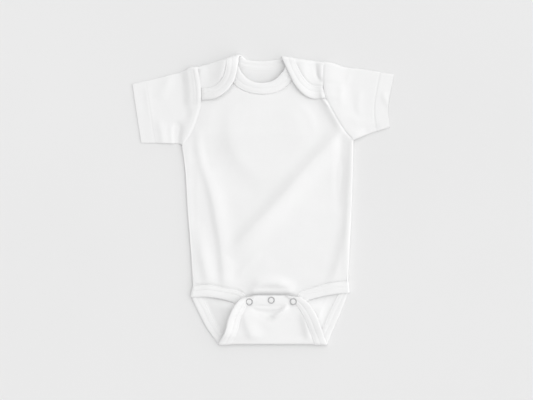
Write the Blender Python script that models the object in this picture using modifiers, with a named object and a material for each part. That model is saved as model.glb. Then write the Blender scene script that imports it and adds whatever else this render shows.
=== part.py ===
# Baby bodysuit with short sleeves, lap shoulders and a snapped crotch, laid flat on its back.
#
# Sizes below are millimetres and are scaled to metres where the meshes are made.
# +X is the garment's right-hand side as seen from above, +Y points to the neck, +Z is up,
# and the origin is the middle of the footprint on the surface that the garment lies on.
#
# Every panel is a grid laid on the garment's middle surface and given its wall by Solidify.
# Layers from the bottom: back panel, front panel, shoulder laps, crotch flap. The back panel
# turns over the shoulders to make the laps and turns up over the front to make the crotch flap.
# Ribbed bindings are folded strips, so their wall is twice the jersey's.

import bpy
import bmesh
import math

MM = 0.001
MIDDLE = (-0.10, -0.155)   # middle of the footprint in the tables' millimetres; it becomes the origin

# ---------------------------------------------------------------- driving sizes
CLOTH = 1.2            # jersey wall
BAND = 2.4             # folded rib binding wall
HEM = 2.0              # turned sleeve hem wall
SEAM = 0.5             # clearance along a seam, measured on the middle surface
LIFT = 0.3             # clearance between layers

ROLL = 1.8             # radius of the rolled side edge, middle surface
R_SHOULDER = 2.8       # reach of the shoulder fold past its start line
R_CROTCH = 2.4         # reach of the crotch fold past its start line
CROTCH_Y = -185.6      # start line of the crotch fold
HEM_DEPTH = 18.0       # turned hem of each sleeve

SNAP_D = 9.2           # outer diameter of a snap's prong ring
SNAP_HOLE = 4.4        # open middle of the ring

Z_BACK = CLOTH / 2     # middle surface of the back panel on the table
Z_BACK_BAND = BAND / 2 + 0.05

# Outer edges of the body, from the hip up to the shoulder tips (x, y on each side).
SIDE = [  # name, left x, left y, right x, right y
    ("hip",        -91.0, -112.5, 110.2, -107.3),
    ("low side",   -94.6,  -58.0, 112.8,  -58.0),
    ("waist",      -98.2,  -13.0, 115.0,  -15.0),
    ("chest",     -101.2,   37.6, 116.6,   37.6),
    ("underarm",  -105.6,   70.0, 117.4,   77.0),
]
ARMHOLE = [
    ("underarm",     -105.6,  70.0, 117.4,  77.0),
    ("low",           -93.1,  87.8, 106.0,  90.4),
    ("mid",           -84.0, 111.8,  92.6, 111.8),
    ("lap end",       -80.5, 129.4,  81.6, 134.0),
    ("high",          -81.2, 150.2,  78.2, 155.0),
    ("shoulder tip",  -84.5, 169.0,  79.0, 175.5),
]

# Start lines of the shoulder folds: from the armhole to the neck, 3.4 mm inside the outline.
FOLD = {
    "L": ((-84.5, 168.9), (-28.6, 185.0)),
    "R": ((79.0, 175.5), (24.0, 182.3)),
}

# Leg openings of the back panel: rows on the table layer, then on the flap after the crotch fold.
# free = outer edge of the binding, seam = where the binding meets the panel.
LEG_BACK = [  # name, y, free left, seam left, seam right, free right
    ("hip low",   -143.6, -85.7, -71.5, 88.5, 102.4),
    ("leg",       -156.6, -79.4, -65.4, 83.0,  96.8),
    ("leg low",   -169.7, -72.0, -57.6, 77.0,  91.2),
    ("crotch",    CROTCH_Y, -60.0, -45.0, 69.6, 84.6),
]
LEG_FLAP = [
    ("crotch",    CROTCH_Y, -57.2, -42.0, 67.4, 82.4),
    ("low",       -171.0, -49.4, -34.6, 61.6,  77.2),
    ("mid",       -155.0, -45.2, -30.4, 55.4,  71.4),
    ("high",      -140.0, -38.6, -23.6, 46.6,  63.4),
    ("corner",    -131.0, -31.4, -16.6, 38.4,  55.0),
    ("top",       -124.4, -23.6,  -9.4, 30.0,  44.6),
]
# The seam of the back leg opening from the side seam down to the first row above.
HIP_SEAM = [  # name, left x, left y, right x, right y
    ("side seam", -90.6, -112.9, 109.6, -107.8),
    ("turn",      -84.0, -121.0, 103.4, -115.6),
    ("curve",     -77.4, -131.6,  96.2, -128.0),
    ("row",       -71.5, -143.6,  88.5, -143.6),
]

# Seam between the front panel and the leg bindings, ending round the hidden snap tab.
FRONT_LEG = [  # name, left x, left y, right x, right y
    ("side",  -90.6, -112.0, 109.8, -106.9),
    ("out",   -71.0, -111.8,  86.0, -109.6),
    ("in",    -48.1, -116.4,  61.5, -116.8),
    ("turn",  -26.2, -122.6,  47.0, -122.4),
    ("tab",   -23.4, -132.0,  45.4, -132.0),
    ("end",   -22.6, -147.0,  44.6, -147.0),
]
FRONT_LEG_FREE = [
    ("side",  -90.6, -126.9, 109.8, -121.2),
    ("out",   -70.0, -127.2,  86.0, -124.3),
    ("in",    -50.4, -130.6,  61.0, -130.4),
    ("turn",  -38.6, -135.0,  57.4, -133.6),
    ("tab",   -36.0, -140.0,  56.6, -140.0),
    ("end",   -35.6, -147.0,  56.4, -147.0),
]

# Front neckline from the left shoulder to the right: seam to the panel and free edge.
FRONT_NECK = [  # name, seam x, seam y, free x, free y
    ("left end",   -48.8, 178.4, -36.0, 182.2),
    ("left high",  -45.0, 168.6, -32.6, 174.6),
    ("left",       -36.8, 151.4, -26.8, 163.5),
    ("left low",   -24.1, 142.4, -16.1, 154.3),
    ("middle",      -2.6, 137.8,  -2.6, 151.5),
    ("right low",   18.2, 141.1,  12.6, 154.3),
    ("right",       33.6, 151.4,  23.4, 163.5),
    ("right high",  41.8, 166.0,  29.6, 172.9),
    ("right end",   45.6, 177.4,  33.2, 179.8),
]

# Back neckline on the table layer, between the two shoulder folds.
BACK_NECK = [
    ("left fold",  -42.6, 181.0, -26.0, 185.8),
    ("left",       -32.6, 174.6, -21.5, 182.1),
    ("left low",   -19.0, 169.8, -13.0, 180.7),
    ("middle",      -2.6, 168.2,  -2.6, 180.1),
    ("right low",   14.0, 169.2,  10.4, 180.8),
    ("right",       28.0, 173.6,  18.4, 182.2),
    ("right fold",  38.4, 180.5,  22.6, 182.5),
]
# Curved edges of the shoulder laps on the top layer, from the fold round to the armhole.
LAP = {
    "L": [
        ("fold",     -46.2, 179.9, -31.2, 184.3),
        ("neck",     -47.6, 168.4, -33.4, 168.8),
        ("upper",    -51.8, 157.0, -37.3, 154.3),
        ("corner",   -60.6, 147.6, -47.6, 140.6),
        ("lower",    -69.6, 143.8, -61.6, 131.6),
        ("armhole",  -79.9, 142.9, -79.7, 128.9),
    ],
    "R": [
        ("fold",      39.8, 180.4,  26.8, 182.0),
        ("neck",      45.4, 168.0,  34.6, 166.0),
        ("upper",     53.6, 154.8,  42.9, 149.8),
        ("corner",    61.6, 148.0,  52.9, 138.6),
        ("lower",     69.6, 146.0,  65.4, 132.4),
        ("armhole",   77.8, 146.0,  81.2, 132.8),
    ],
}

# Sleeves: corners and edges as laid flat, from the armhole to the cuff (distance share s).
SLEEVE = {
    "L": {
        "top":   [("seam", -84.5, 172.2), ("bend", -94.4, 171.3), ("drop", -104.4, 166.1),
                  ("mid", -134.0, 158.4), ("cuff", -170.2, 150.2)],
        "under": [("seam", -106.4, 69.7), ("mid", -124.8, 73.3), ("cuff", -158.6, 73.8)],
        "cuff":  [("under", -158.6, 73.8), ("mid", -164.8, 112.6), ("top", -170.2, 150.2)],
    },
    "R": {
        "top":   [("seam", 79.4, 178.8), ("bend", 89.7, 177.5), ("drop", 106.0, 172.0),
                  ("mid", 132.6, 168.8), ("cuff", 170.0, 162.2)],
        "under": [("seam", 118.2, 77.6), ("mid", 142.0, 87.0), ("cuff", 164.8, 94.6)],
        "cuff":  [("under", 164.8, 94.6), ("mid", 162.8, 120.3), ("top", 170.0, 162.2)],
    },
}

# Largest soft folds: crest lines on the front panel (height above the panel, half width).
FOLDS = [  # name, height, half width, crest points (x, y)
    ("long diagonal",   4.0,  9.0, ((86.0, 74.0), (40.3, 23.0), (-8.0, -34.0), (-26.0, -56.0))),
    ("left upright",    3.0,  7.0, ((-79.0, 62.0), (-72.0, 18.0), (-62.0, -28.0), (-54.0, -72.0), (-49.0, -104.0))),
    ("left edge",       1.2,  5.0, ((-88.0, 10.0), (-84.0, -32.0), (-80.0, -64.0), (-79.0, -104.0))),
    ("right low",       1.4,  6.0, ((101.0, -28.0), (96.0, -70.0), (90.0, -98.0))),
    ("crotch bulge",    2.6,  8.0, ((-24.0, -111.0), (10.4, -101.0), (45.0, -110.0))),
    ("chest ring left", 0.8,  8.0, ((-38.0, 120.0), (-44.0, 90.0), (-30.0, 56.0))),
]

# Snap centres.
SNAPS = [  # name, x, y, what the cap stands on
    ("1", -17.6, -132.6, "binding"),
    ("2",  10.8, -130.6, "panel"),
    ("3",  39.4, -132.4, "binding"),
]

# Shares at which the grids and their bindings have their points, so that seams stay parallel.
FRONT_U = (0.0, 0.04, 0.09, 0.145, 0.20, 0.25, 0.30, 0.35, 0.40, 0.45, 0.50,
           0.55, 0.60, 0.65, 0.70, 0.75, 0.80, 0.855, 0.91, 0.96, 1.0)
FRONT_CORNER = 0.20     # shoulder share of the front panel's top edge on each side
FRONT_TAB = 0.40        # share of the front panel's lower edge up to the snap tab
BACK_U = (0.0, 0.06, 0.13, 0.21, 0.285, 0.36, 0.43, 0.50, 0.57, 0.64, 0.715, 0.79, 0.87, 0.94, 1.0)
BACK_CORNER = (0.285, 0.715)
SIDE_V = (0.0, 0.05, 0.11, 0.18, 0.25, 0.32, 0.39, 0.46, 0.53, 0.60, 0.68, 0.76, 0.84, 0.92, 1.0)
ARM_V = (0.16, 0.32, 0.48, 0.63, 0.76, 0.88, 1.0)
FOLD_ANGLES = (45.0, 90.0, 135.0)
LAP_SEAM_T = (1.0, 0.78, 0.56, 0.34, 0.14)      # the lap's columns along its curved edge
FLAP_Y = (-124.4, -129.0, -134.5, -141.0, -150.0, -160.0, -172.0)
LEG_Y = (-175.0, -165.0, -154.0)

WHITE = (0.87, 0.87, 0.87, 1.0)
RIB_WHITE = (0.89, 0.89, 0.89, 1.0)
STEEL = (0.62, 0.62, 0.63, 1.0)


# ---------------------------------------------------------------- small maths
def clamp(t):
    return max(0.0, min(1.0, t))


def smooth(t):
    t = clamp(t)
    return t * t * (3.0 - 2.0 * t)


def mix(a, b, t):
    return a + (b - a) * t


class Curve:
    """Smooth curve through table points, read by share of its chord length."""

    def __init__(self, points):
        self.p = [tuple(float(c) for c in q) for q in points]
        self.s = [0.0]
        for a, b in zip(self.p, self.p[1:]):
            self.s.append(self.s[-1] + math.dist(a, b))
        self.length = self.s[-1]
        self.s = [v / self.length for v in self.s]
        n = len(self.p)
        self.m = []
        for i in range(n):
            lo, hi = max(0, i - 1), min(n - 1, i + 1)
            self.m.append(tuple((b - a) / (self.s[hi] - self.s[lo])
                                for a, b in zip(self.p[lo], self.p[hi])))

    def __call__(self, t):
        t = clamp(t)
        i = 0
        while i < len(self.s) - 2 and t > self.s[i + 1]:
            i += 1
        h = self.s[i + 1] - self.s[i]
        u = (t - self.s[i]) / h
        a, b = 2 * u ** 3 - 3 * u ** 2 + 1, u ** 3 - 2 * u ** 2 + u
        c, d = -2 * u ** 3 + 3 * u ** 2, u ** 3 - u ** 2
        return tuple(a * p0 + b * h * m0 + c * p1 + d * h * m1
                     for p0, m0, p1, m1 in zip(self.p[i], self.m[i], self.p[i + 1], self.m[i + 1]))

    def off(self, t, d):
        """Point d mm to the left of the curve's direction."""
        (ax, ay), (bx, by) = self(max(0.0, t - 0.01)), self(min(1.0, t + 0.01))
        n = math.dist((ax, ay), (bx, by))
        x, y = self(t)
        return x - (by - ay) / n * d, y + (bx - ax) / n * d


class Graph:
    """Smooth function of one rising variable through table rows (monotone cubic)."""

    def __init__(self, rows):
        rows = sorted(rows)
        self.x = [r[0] for r in rows]
        self.y = [r[1:] for r in rows]
        n, k = len(rows), len(rows[0]) - 1
        self.m = [[0.0] * k for _ in range(n)]
        for c in range(k):
            d = [(self.y[i + 1][c] - self.y[i][c]) / (self.x[i + 1] - self.x[i]) for i in range(n - 1)]
            for i in range(n):
                if i == 0 or i == n - 1:
                    self.m[i][c] = d[0] if i == 0 else d[-1]
                elif d[i - 1] * d[i] > 0:
                    self.m[i][c] = 2 * d[i - 1] * d[i] / (d[i - 1] + d[i])

    def __call__(self, x):
        x = max(self.x[0], min(self.x[-1], x))
        i = 0
        while i < len(self.x) - 2 and x > self.x[i + 1]:
            i += 1
        h = self.x[i + 1] - self.x[i]
        u = (x - self.x[i]) / h
        a, b = 2 * u ** 3 - 3 * u ** 2 + 1, u ** 3 - 2 * u ** 2 + u
        c, d = -2 * u ** 3 + 3 * u ** 2, u ** 3 - u ** 2
        return tuple(a * p + b * h * m + c * q + d * h * w for p, m, q, w in
                     zip(self.y[i], self.m[i], self.y[i + 1], self.m[i + 1]))


def near_polyline(x, y, pts):
    """Distance to a polyline and the share of its length at the nearest point."""
    best, where, run = 1e9, 0.0, 0.0
    total = sum(math.dist(a, b) for a, b in zip(pts, pts[1:]))
    for a, b in zip(pts, pts[1:]):
        length = math.dist(a, b)
        t = clamp(((x - a[0]) * (b[0] - a[0]) + (y - a[1]) * (b[1] - a[1])) / length ** 2)
        d = math.dist((x, y), (mix(a[0], b[0], t), mix(a[1], b[1], t)))
        if d < best:
            best, where = d, (run + t * length) / total
        run += length
    return best, where


# ---------------------------------------------------------------- outlines
side_l = Curve([(r[1], r[2]) for r in SIDE])
side_r = Curve([(r[3], r[4]) for r in SIDE])
arm_l = Curve([(r[1], r[2]) for r in ARMHOLE])
arm_r = Curve([(r[3], r[4]) for r in ARMHOLE])
edge_l = Graph([(r[2], r[1]) for r in SIDE])
edge_r = Graph([(r[4], r[3]) for r in SIDE])


def fold_frame(side):
    """Unit vector along a shoulder fold (armhole to neck) and the outward normal."""
    (ax, ay), (bx, by) = FOLD[side]
    n = math.dist((ax, ay), (bx, by))
    f = ((bx - ax) / n, (by - ay) / n)
    q = (-f[1], f[0]) if side == "L" else (f[1], -f[0])
    return f, q, n


# ---------------------------------------------------------------- layer heights
def z_front(x, y):
    """Middle surface of the front panel, lying on the back panel."""
    z = 2.7
    # rolled side seams stand a little proud, and the armholes stand on their seam allowance
    if y < 84.0:
        a = min(x - edge_l(y)[0], edge_r(y)[0] - x)
        z += (Z_BACK + 2 * ROLL - 2.7) * math.exp(-(max(a, 0.0) / 8.0) ** 2) * smooth((y + 150.0) / 40.0)
    a = min(near_polyline(x, y, [(r[1], r[2]) for r in ARMHOLE])[0],
            near_polyline(x, y, [(r[3], r[4]) for r in ARMHOLE])[0])
    z += 1.5 * math.exp(-(a / 9.0) ** 2) * smooth((y - 62.0) / 20.0) * (1.0 - smooth((y - 118.0) / 20.0) * 0.6)
    # the shoulders lie on the back neck binding
    z += 1.3 * smooth((y - 148.0) / 20.0) + 0.4 * smooth((y - 120.0) / 20.0)
    # the snap tab stands on the lower snap rings
    z += 0.6 * smooth((-112.0 - y) / 12.0) * smooth((66.0 - abs(x - 10.0)) / 30.0)
    # leg openings stand on the bindings of the back
    z += 1.8 * smooth((-90.0 - y) / 18.0) * smooth((abs(x - 10.0) - 38.0) / 26.0)
    for name, height, width, pts in FOLDS:
        d, s = near_polyline(x, y, pts)
        if d < 3 * width:
            fade = smooth(s / 0.18) * smooth((1.0 - s) / 0.18)
            z += height * math.exp(-(d / width) ** 2 * 1.6) * (0.25 + 0.75 * fade)
    return z


def z_lap(x, y):
    """Middle surface of a shoulder lap over the front panel and the front neck binding."""
    return z_front(x, y) + 2.75


Z_FLAP = Graph([(CROTCH_Y - 5, 5.9), (CROTCH_Y, 5.9), (-172.0, 6.3), (-150.0, 7.7), (-138.0, 8.1), (-120.0, 8.1)])


def z_flap(x, y):
    """Middle surface of the crotch flap."""
    return Z_FLAP(y)[0]


# ---------------------------------------------------------------- mesh helpers
def material(name, colour, rough, metal=0.0):
    m = bpy.data.materials.new(name)
    m.use_nodes = True
    b = m.node_tree.nodes["Principled BSDF"]
    b.inputs["Base Color"].default_value = colour
    b.inputs["Roughness"].default_value = rough
    b.inputs["Metallic"].default_value = metal
    m.diffuse_color = colour
    return m


def link(name, mesh, mat):
    ob = bpy.data.objects.new(name, mesh)
    mesh.materials.append(mat)
    PARTS.objects.link(ob)
    return ob


def sheet(name, rows, mat, wall, offset=0.0, skip=None, close=False, thick=None):
    """A cloth panel: a grid whose points are moved to rows[j][i] (mm), then given its wall."""
    nv, nu = len(rows), len(rows[0])
    bm = bmesh.new()
    layer = bm.verts.layers.deform.verify() if thick else None
    made = bmesh.ops.create_grid(bm, x_segments=nu - 1, y_segments=nv - 1, size=0.5)["verts"]
    made.sort(key=lambda v: (round((v.co.y + 0.5) * (nv - 1)), v.co.x))
    grid = [made[j * nu:(j + 1) * nu] for j in range(nv)]
    index = {}
    for j in range(nv):
        for i in range(nu):
            index[grid[j][i]] = (j, i)
    if skip:
        gone = [f for f in bm.faces if skip(min(index[v][0] for v in f.verts), min(index[v][1] for v in f.verts))]
        bmesh.ops.delete(bm, geom=gone, context="FACES")
    for j in range(nv):
        for i in range(nu):
            v = grid[j][i]
            if v.is_valid and v.link_faces:
                x, y, z = rows[j][i]
                v.co = ((x - MIDDLE[0]) * MM, (y - MIDDLE[1]) * MM, z * MM)
                if thick:
                    v[layer][0] = thick(j, i)
    loose = [v for v in bm.verts if not v.link_faces]
    bmesh.ops.delete(bm, geom=loose, context="VERTS")
    if close:
        bmesh.ops.remove_doubles(bm, verts=bm.verts[:], dist=0.00002)
    mesh = bpy.data.meshes.new(name)
    bm.to_mesh(mesh)
    bm.free()
    mesh.shade_smooth()
    ob = link(name, mesh, mat)
    s = ob.modifiers.new("wall", "SOLIDIFY")
    s.thickness = wall * MM
    s.offset = offset
    s.use_even_offset = True
    if thick:
        ob.vertex_groups.new(name="hem")
        s.vertex_group = "hem"
        s.thickness_vertex_group = CLOTH / wall
    return ob


def turned(name, profile, x, y, z, mat):
    """A turned snap part: an outer-to-inner profile (radius, height) in mm on a vertical axis."""
    bm = bmesh.new()
    vs = [bm.verts.new((r * MM, 0.0, h * MM)) for r, h in profile]
    closed = profile[0][0] > 0.0
    for a, b in zip(vs, vs[1:] + (vs[:1] if closed else [])):
        bm.edges.new((a, b))
    mesh = bpy.data.meshes.new(name)
    bm.to_mesh(mesh)
    bm.free()
    ob = link(name, mesh, mat)
    ob.location = ((x - MIDDLE[0]) * MM, (y - MIDDLE[1]) * MM, z * MM)
    m = ob.modifiers.new("turn", "SCREW")
    m.axis = "Z"
    m.angle = 2 * math.pi
    m.steps = m.render_steps = 16
    m.use_merge_vertices = True
    m.merge_threshold = 0.00001
    m.use_smooth_shade = True
    return ob


# ---------------------------------------------------------------- shared columns
ROLL_ANGLES = (80.0, 42.0)


def roll_point(edge_x, sign, angle, z_low, z_top, upper):
    """A point on the rolled side edge: sign +1 rolls towards +X inside, angle 90 is the outermost."""
    r = (z_top - z_low) / 2
    a = math.radians(angle)
    x = edge_x + sign * (r - r * math.sin(a))
    z = z_low + r - r * math.cos(a) if not upper else z_top - r + r * math.cos(a)
    return x, z


# ---------------------------------------------------------------- front panel
def build_front():
    leg_l, leg_r = Curve([(r[1], r[2]) for r in FRONT_LEG]), Curve([(r[3], r[4]) for r in FRONT_LEG])
    neck = Curve([(r[1], r[2]) for r in FRONT_NECK])
    (alx, aly), (arx, ary) = FOLD["L"][0], FOLD["R"][0]
    c, e = FRONT_CORNER, FRONT_TAB

    def bottom(u):
        if u <= e:
            return leg_l.off(u / e, SEAM)
        if u >= 1.0 - e:
            return leg_r.off((1.0 - u) / e, -SEAM)
        t = (u - e) / (1.0 - 2 * e)
        p, q = leg_l.off(1.0, SEAM), leg_r.off(1.0, -SEAM)
        return mix(p[0], q[0], t), mix(p[1], q[1], t)

    def top(u):
        if u < c:
            t, p = u / c, neck.off(0.0, -SEAM)
            return mix(alx + SEAM, p[0], t), mix(aly, p[1], t)
        if u > 1.0 - c:
            t, p = (1.0 - u) / c, neck.off(1.0, -SEAM)
            return mix(arx - SEAM, p[0], t), mix(ary, p[1], t)
        return neck.off((u - c) / (1.0 - 2 * c), -SEAM)

    rows = []
    stations = [(v, True) for v in SIDE_V] + [(v, False) for v in ARM_V]
    for j, (v, side) in enumerate(stations):
        (lx, ly), (rx, ry) = (side_l(v), side_r(v)) if side else (arm_l.off(v, -SEAM * 0.5), arm_r.off(v, SEAM * 0.5))
        g = j / (len(stations) - 1.0)
        w0, w1 = clamp(1.0 - g / 0.34) ** 2, clamp((g - 0.60) / 0.40) ** 1.6
        row = []
        for u in FRONT_U:
            b, t = bottom(u), top(u)
            b0 = [mix(p, q, u) for p, q in zip(side_l(0.0), side_r(0.0))]
            t0 = [mix(p, q, u) for p, q in zip(arm_l.off(1.0, -SEAM * 0.5), arm_r.off(1.0, SEAM * 0.5))]
            row.append([mix(lx, rx, u) + (b[0] - b0[0]) * w0 + (t[0] - t0[0]) * w1,
                        mix(ly, ry, u) + (b[1] - b0[1]) * w0 + (t[1] - t0[1]) * w1])
        if side:                        # leave room for the rolled edge
            rl, rr = (z_front(lx + 2, ly) - Z_BACK) / 2, (z_front(rx - 2, ry) - Z_BACK) / 2
            for p in row:
                p[0] += rl * smooth(1.0 - (p[0] - lx) / 30.0) - rr * smooth(1.0 - (rx - p[0]) / 30.0)
        pts = [(x, y, z_front(x, y)) for x, y in row]
        left = [pts[0]] * len(ROLL_ANGLES)
        right = [pts[-1]] * len(ROLL_ANGLES)
        if side:
            left, right = [], []
            for ang in ROLL_ANGLES:
                x, z = roll_point(lx, 1, ang, Z_BACK, z_front(lx + 2, ly), True)
                left.append((x, pts[0][1], z))
                x, z = roll_point(rx, -1, ang, Z_BACK, z_front(rx - 2, ry), True)
                right.insert(0, (x, pts[-1][1], z))
        rows.append(left + pts + right)
    k, nu, n_side = len(ROLL_ANGLES), len(rows[0]), len(SIDE_V)

    def skip(j, i):
        return j >= n_side - 1 and (i < k or i >= nu - 1 - k)
    return sheet("front_panel", rows, JERSEY, CLOTH, skip=skip)


# ---------------------------------------------------------------- back panel
def build_back():
    us, n = BACK_U, len(BACK_U)
    last, k = n - 1, len(ROLL_ANGLES)
    ang_fold = FOLD_ANGLES

    def edge_weight(i):
        return {0: 1.0, 1: 0.3, last: 1.0, last - 1: 0.3}.get(i, 0.0)

    rows = []
    leg_b = Graph([(r[1], r[3], r[4]) for r in LEG_BACK])
    leg_f = Graph([(r[1], r[3], r[4]) for r in LEG_FLAP])
    g = SEAM * 1.15
    # crotch flap, from its snapped top edge down to the fold
    for y in FLAP_Y:
        xl, xr = leg_f(y)
        rows.append([(mix(xl + g, xr - g, u), y, z_flap(0, y)) for u in us])
    for ang in (180.0,) + ang_fold[::-1] + (0.0,):
        a, t = math.radians(ang), (180.0 - ang) / 180.0
        xl, xr = (mix(p, q, t) for p, q in zip(leg_f(CROTCH_Y), leg_b(CROTCH_Y)))
        rows.append([(mix(xl + g, xr - g, u), CROTCH_Y - R_CROTCH * math.sin(a),
                      mix(Z_BACK_BAND, z_flap(0, CROTCH_Y), (1 - math.cos(a)) / 2)) for u in us])
    # leg openings on the table layer
    for y in LEG_Y:
        xl, xr = leg_b(y)
        rows.append([(mix(xl + g, xr - g, u), y,
                      mix(Z_BACK, Z_BACK_BAND, max(edge_weight(i), smooth((-170.0 - y) / 12.0)))) for i, u in enumerate(us)])
    hip_l, hip_r = Curve([(r[1], r[2]) for r in reversed(HIP_SEAM)]), Curve([(r[3], r[4]) for r in reversed(HIP_SEAM)])
    for t in (0.0, 0.25, 0.5, 0.75):
        (xl, yl), (xr, yr) = hip_l.off(t, -g), hip_r.off(t, g)
        rows.append([(mix(xl, xr, u), mix(yl, yr, u), mix(Z_BACK, Z_BACK_BAND, edge_weight(i))) for i, u in enumerate(us)])
    rows = [[r[0]] * k + r + [r[-1]] * k for r in rows]
    first_side = len(rows)
    # sides, with the rolled edge
    for v in SIDE_V:
        (lx, ly), (rx, ry) = side_l(v), side_r(v)
        zl, zr = z_front(lx + 2, ly), z_front(rx - 2, ry)
        rl, rr = (zl - Z_BACK) / 2, (zr - Z_BACK) / 2
        mid = [(mix(lx + rl, rx - rr, u), mix(ly, ry, u), Z_BACK) for u in us]
        left, right = [], []
        for ang in ROLL_ANGLES:
            x, z = roll_point(lx, 1, ang, Z_BACK, zl, False)
            left.append((x, ly, z))
            x, z = roll_point(rx, -1, ang, Z_BACK, zr, False)
            right.insert(0, (x, ry, z))
        rows.append(left + mid + right)
    last_side = len(rows) - 1
    # armholes and the top edge: shoulders and the neck seam
    neck = Curve([(r[1], r[2]) for r in BACK_NECK])
    c0, c1 = BACK_CORNER
    (alx, aly), (arx, ary) = FOLD["L"][0], FOLD["R"][0]

    def top(u):
        if u <= c0:
            t, p = u / c0, neck.off(0.0, -g)
            return mix(alx + SEAM, p[0], t), mix(aly, p[1], t)
        if u >= c1:
            t, p = (1.0 - u) / (1.0 - c1), neck.off(1.0, -g)
            return mix(arx - SEAM, p[0], t), mix(ary, p[1], t)
        return neck.off((u - c0) / (c1 - c0), -g)

    for v in ARM_V:
        (lx, ly), (rx, ry) = arm_l.off(v, -SEAM * 0.5), arm_r.off(v, SEAM * 0.5)
        w = clamp((v - 0.35) / 0.65) ** 1.5
        row = []
        for i, u in enumerate(us):
            t = top(u)
            x0, y0 = (mix(p, q, u) for p, q in zip(arm_l.off(1.0, -SEAM * 0.5), arm_r.off(1.0, SEAM * 0.5)))
            near = smooth((v - 0.84) / 0.16) if c0 <= u <= c1 else 0.0
            row.append((mix(lx, rx, u) + (t[0] - x0) * w, mix(ly, ry, u) + (t[1] - y0) * w,
                        mix(Z_BACK, Z_BACK_BAND, near)))
        rows.append([row[0]] * k + row + [row[-1]] * k)
    top_row = len(rows) - 1
    # shoulder folds and laps share the shoulder columns
    cols = {"L": [i for i, u in enumerate(us) if u <= c0], "R": [i for i, u in enumerate(us) if u >= c1][::-1]}

    def lap_point(side, m, v, ang=None):
        """m counts columns from the armhole to the neck; v runs from the fold to the curved edge."""
        sgn = 1.0 if side == "L" else -1.0
        t = m / (len(cols[side]) - 1.0)
        f, q, _ = fold_frame(side)
        seam = Curve([(r[1], r[2]) for r in LAP[side]])
        base = rows[top_row][k + cols[side][0]]
        back = rows[top_row][k + cols[side][-1]]
        lap = seam.off(0.0, -sgn * g)
        if ang is not None:
            a = math.radians(ang)
            x0 = mix(base[0], mix(back[0], lap[0], ang / 180.0), t)
            y0 = mix(base[1], mix(back[1], lap[1], ang / 180.0), t)
            lo = mix(Z_BACK, Z_BACK_BAND, smooth((t - 0.7) / 0.3))
            return (x0 + R_SHOULDER * math.sin(a) * q[0], y0 + R_SHOULDER * math.sin(a) * q[1],
                    mix(lo, z_lap(x0, y0), (1 - math.cos(a)) / 2))
        x0, y0 = mix(base[0], lap[0], t), mix(base[1], lap[1], t)
        sx, sy = seam.off(LAP_SEAM_T[m], -sgn * g)
        if m == 0:
            sx += sgn * SEAM
        x, y = mix(x0, sx, v), mix(y0, sy, v)
        return x, y, z_lap(x, y)

    extra = [(ang, None) for ang in ang_fold + (180.0,)] + [(None, v) for v in (0.33, 0.67, 1.0)]
    for ang, v in extra:
        row = [rows[top_row][k + i] for i in range(n)]
        for side in "LR":
            for m, i in enumerate(cols[side]):
                row[i] = lap_point(side, m, v or 0.0, ang)
        rows.append([row[0]] * k + row + [row[-1]] * k)
    nu = len(rows[0])

    def skip(j, i):
        if (i < k or i >= nu - 1 - k) and (j < first_side or j >= last_side):
            return True
        return j >= top_row and k + cols["L"][-1] <= i < k + cols["R"][-1]
    return sheet("back_panel", rows, JERSEY, CLOTH, skip=skip)


# ---------------------------------------------------------------- bindings
def strip(name, stations, across, mat, wall=BAND):
    """A binding from stations ((free x, y, z), (seam x, y, z)): straight across at each station."""
    rows = [[tuple(mix(f[c], s[c], t) for c in range(3)) for t in across] for f, s in stations]
    return sheet(name, rows, mat, wall)


def build_back_neck():
    neck_s, neck_f = Curve([(r[1], r[2]) for r in BACK_NECK]), Curve([(r[3], r[4]) for r in BACK_NECK])

    def lap_side(side):
        out = []
        s, f = Curve([(r[1], r[2]) for r in LAP[side]]), Curve([(r[3], r[4]) for r in LAP[side]])
        shares = []
        for p, q in zip(LAP_SEAM_T, LAP_SEAM_T[1:] + (0.0,)):
            shares += [p, mix(p, q, 0.5)]
        for t in shares + [0.0]:
            a, b = f(t), s(t)
            out.append(((*a, z_lap(*a)), (*b, z_lap(*b))))
        _, q, _ = fold_frame(side)
        end = 0.0 if side == "L" else 1.0
        for ang in FOLD_ANGLES[::-1] + (0.0,):
            a = math.radians(ang)
            pair = []
            for lap, back in ((f(0.0), neck_f(end)), (s(0.0), neck_s(end))):
                x0, y0 = mix(back[0], lap[0], ang / 180.0), mix(back[1], lap[1], ang / 180.0)
                pair.append((x0 + R_SHOULDER * math.sin(a) * q[0], y0 + R_SHOULDER * math.sin(a) * q[1],
                             mix(Z_BACK_BAND, z_lap(x0, y0), (1 - math.cos(a)) / 2)))
            out.append(tuple(pair))
        return out
    c0, c1 = BACK_CORNER
    mid = []
    for u in BACK_U:
        if c0 < u < c1:
            a, b = neck_f((u - c0) / (c1 - c0)), neck_s((u - c0) / (c1 - c0))
            mid.append(((*a, Z_BACK_BAND), (*b, Z_BACK_BAND)))
    stations = lap_side("L") + mid + lap_side("R")[::-1]
    return strip("back_neck_binding", stations, (0.0, 0.5, 1.0), RIB)


def build_front_neck():
    s, f = Curve([(r[1], r[2]) for r in FRONT_NECK]), Curve([(r[3], r[4]) for r in FRONT_NECK])
    stations = []
    for u in FRONT_U:
        t = (u - FRONT_CORNER) / (1.0 - 2 * FRONT_CORNER)
        if -1e-6 <= t <= 1.0 + 1e-6:
            a, b = f(t), s(t)
            stations.append(((*a, z_front(*a) + 0.1), (*b, z_front(*b) + 0.1)))
    return strip("front_neck_binding", stations, (0.0, 0.5, 1.0), RIB)


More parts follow.
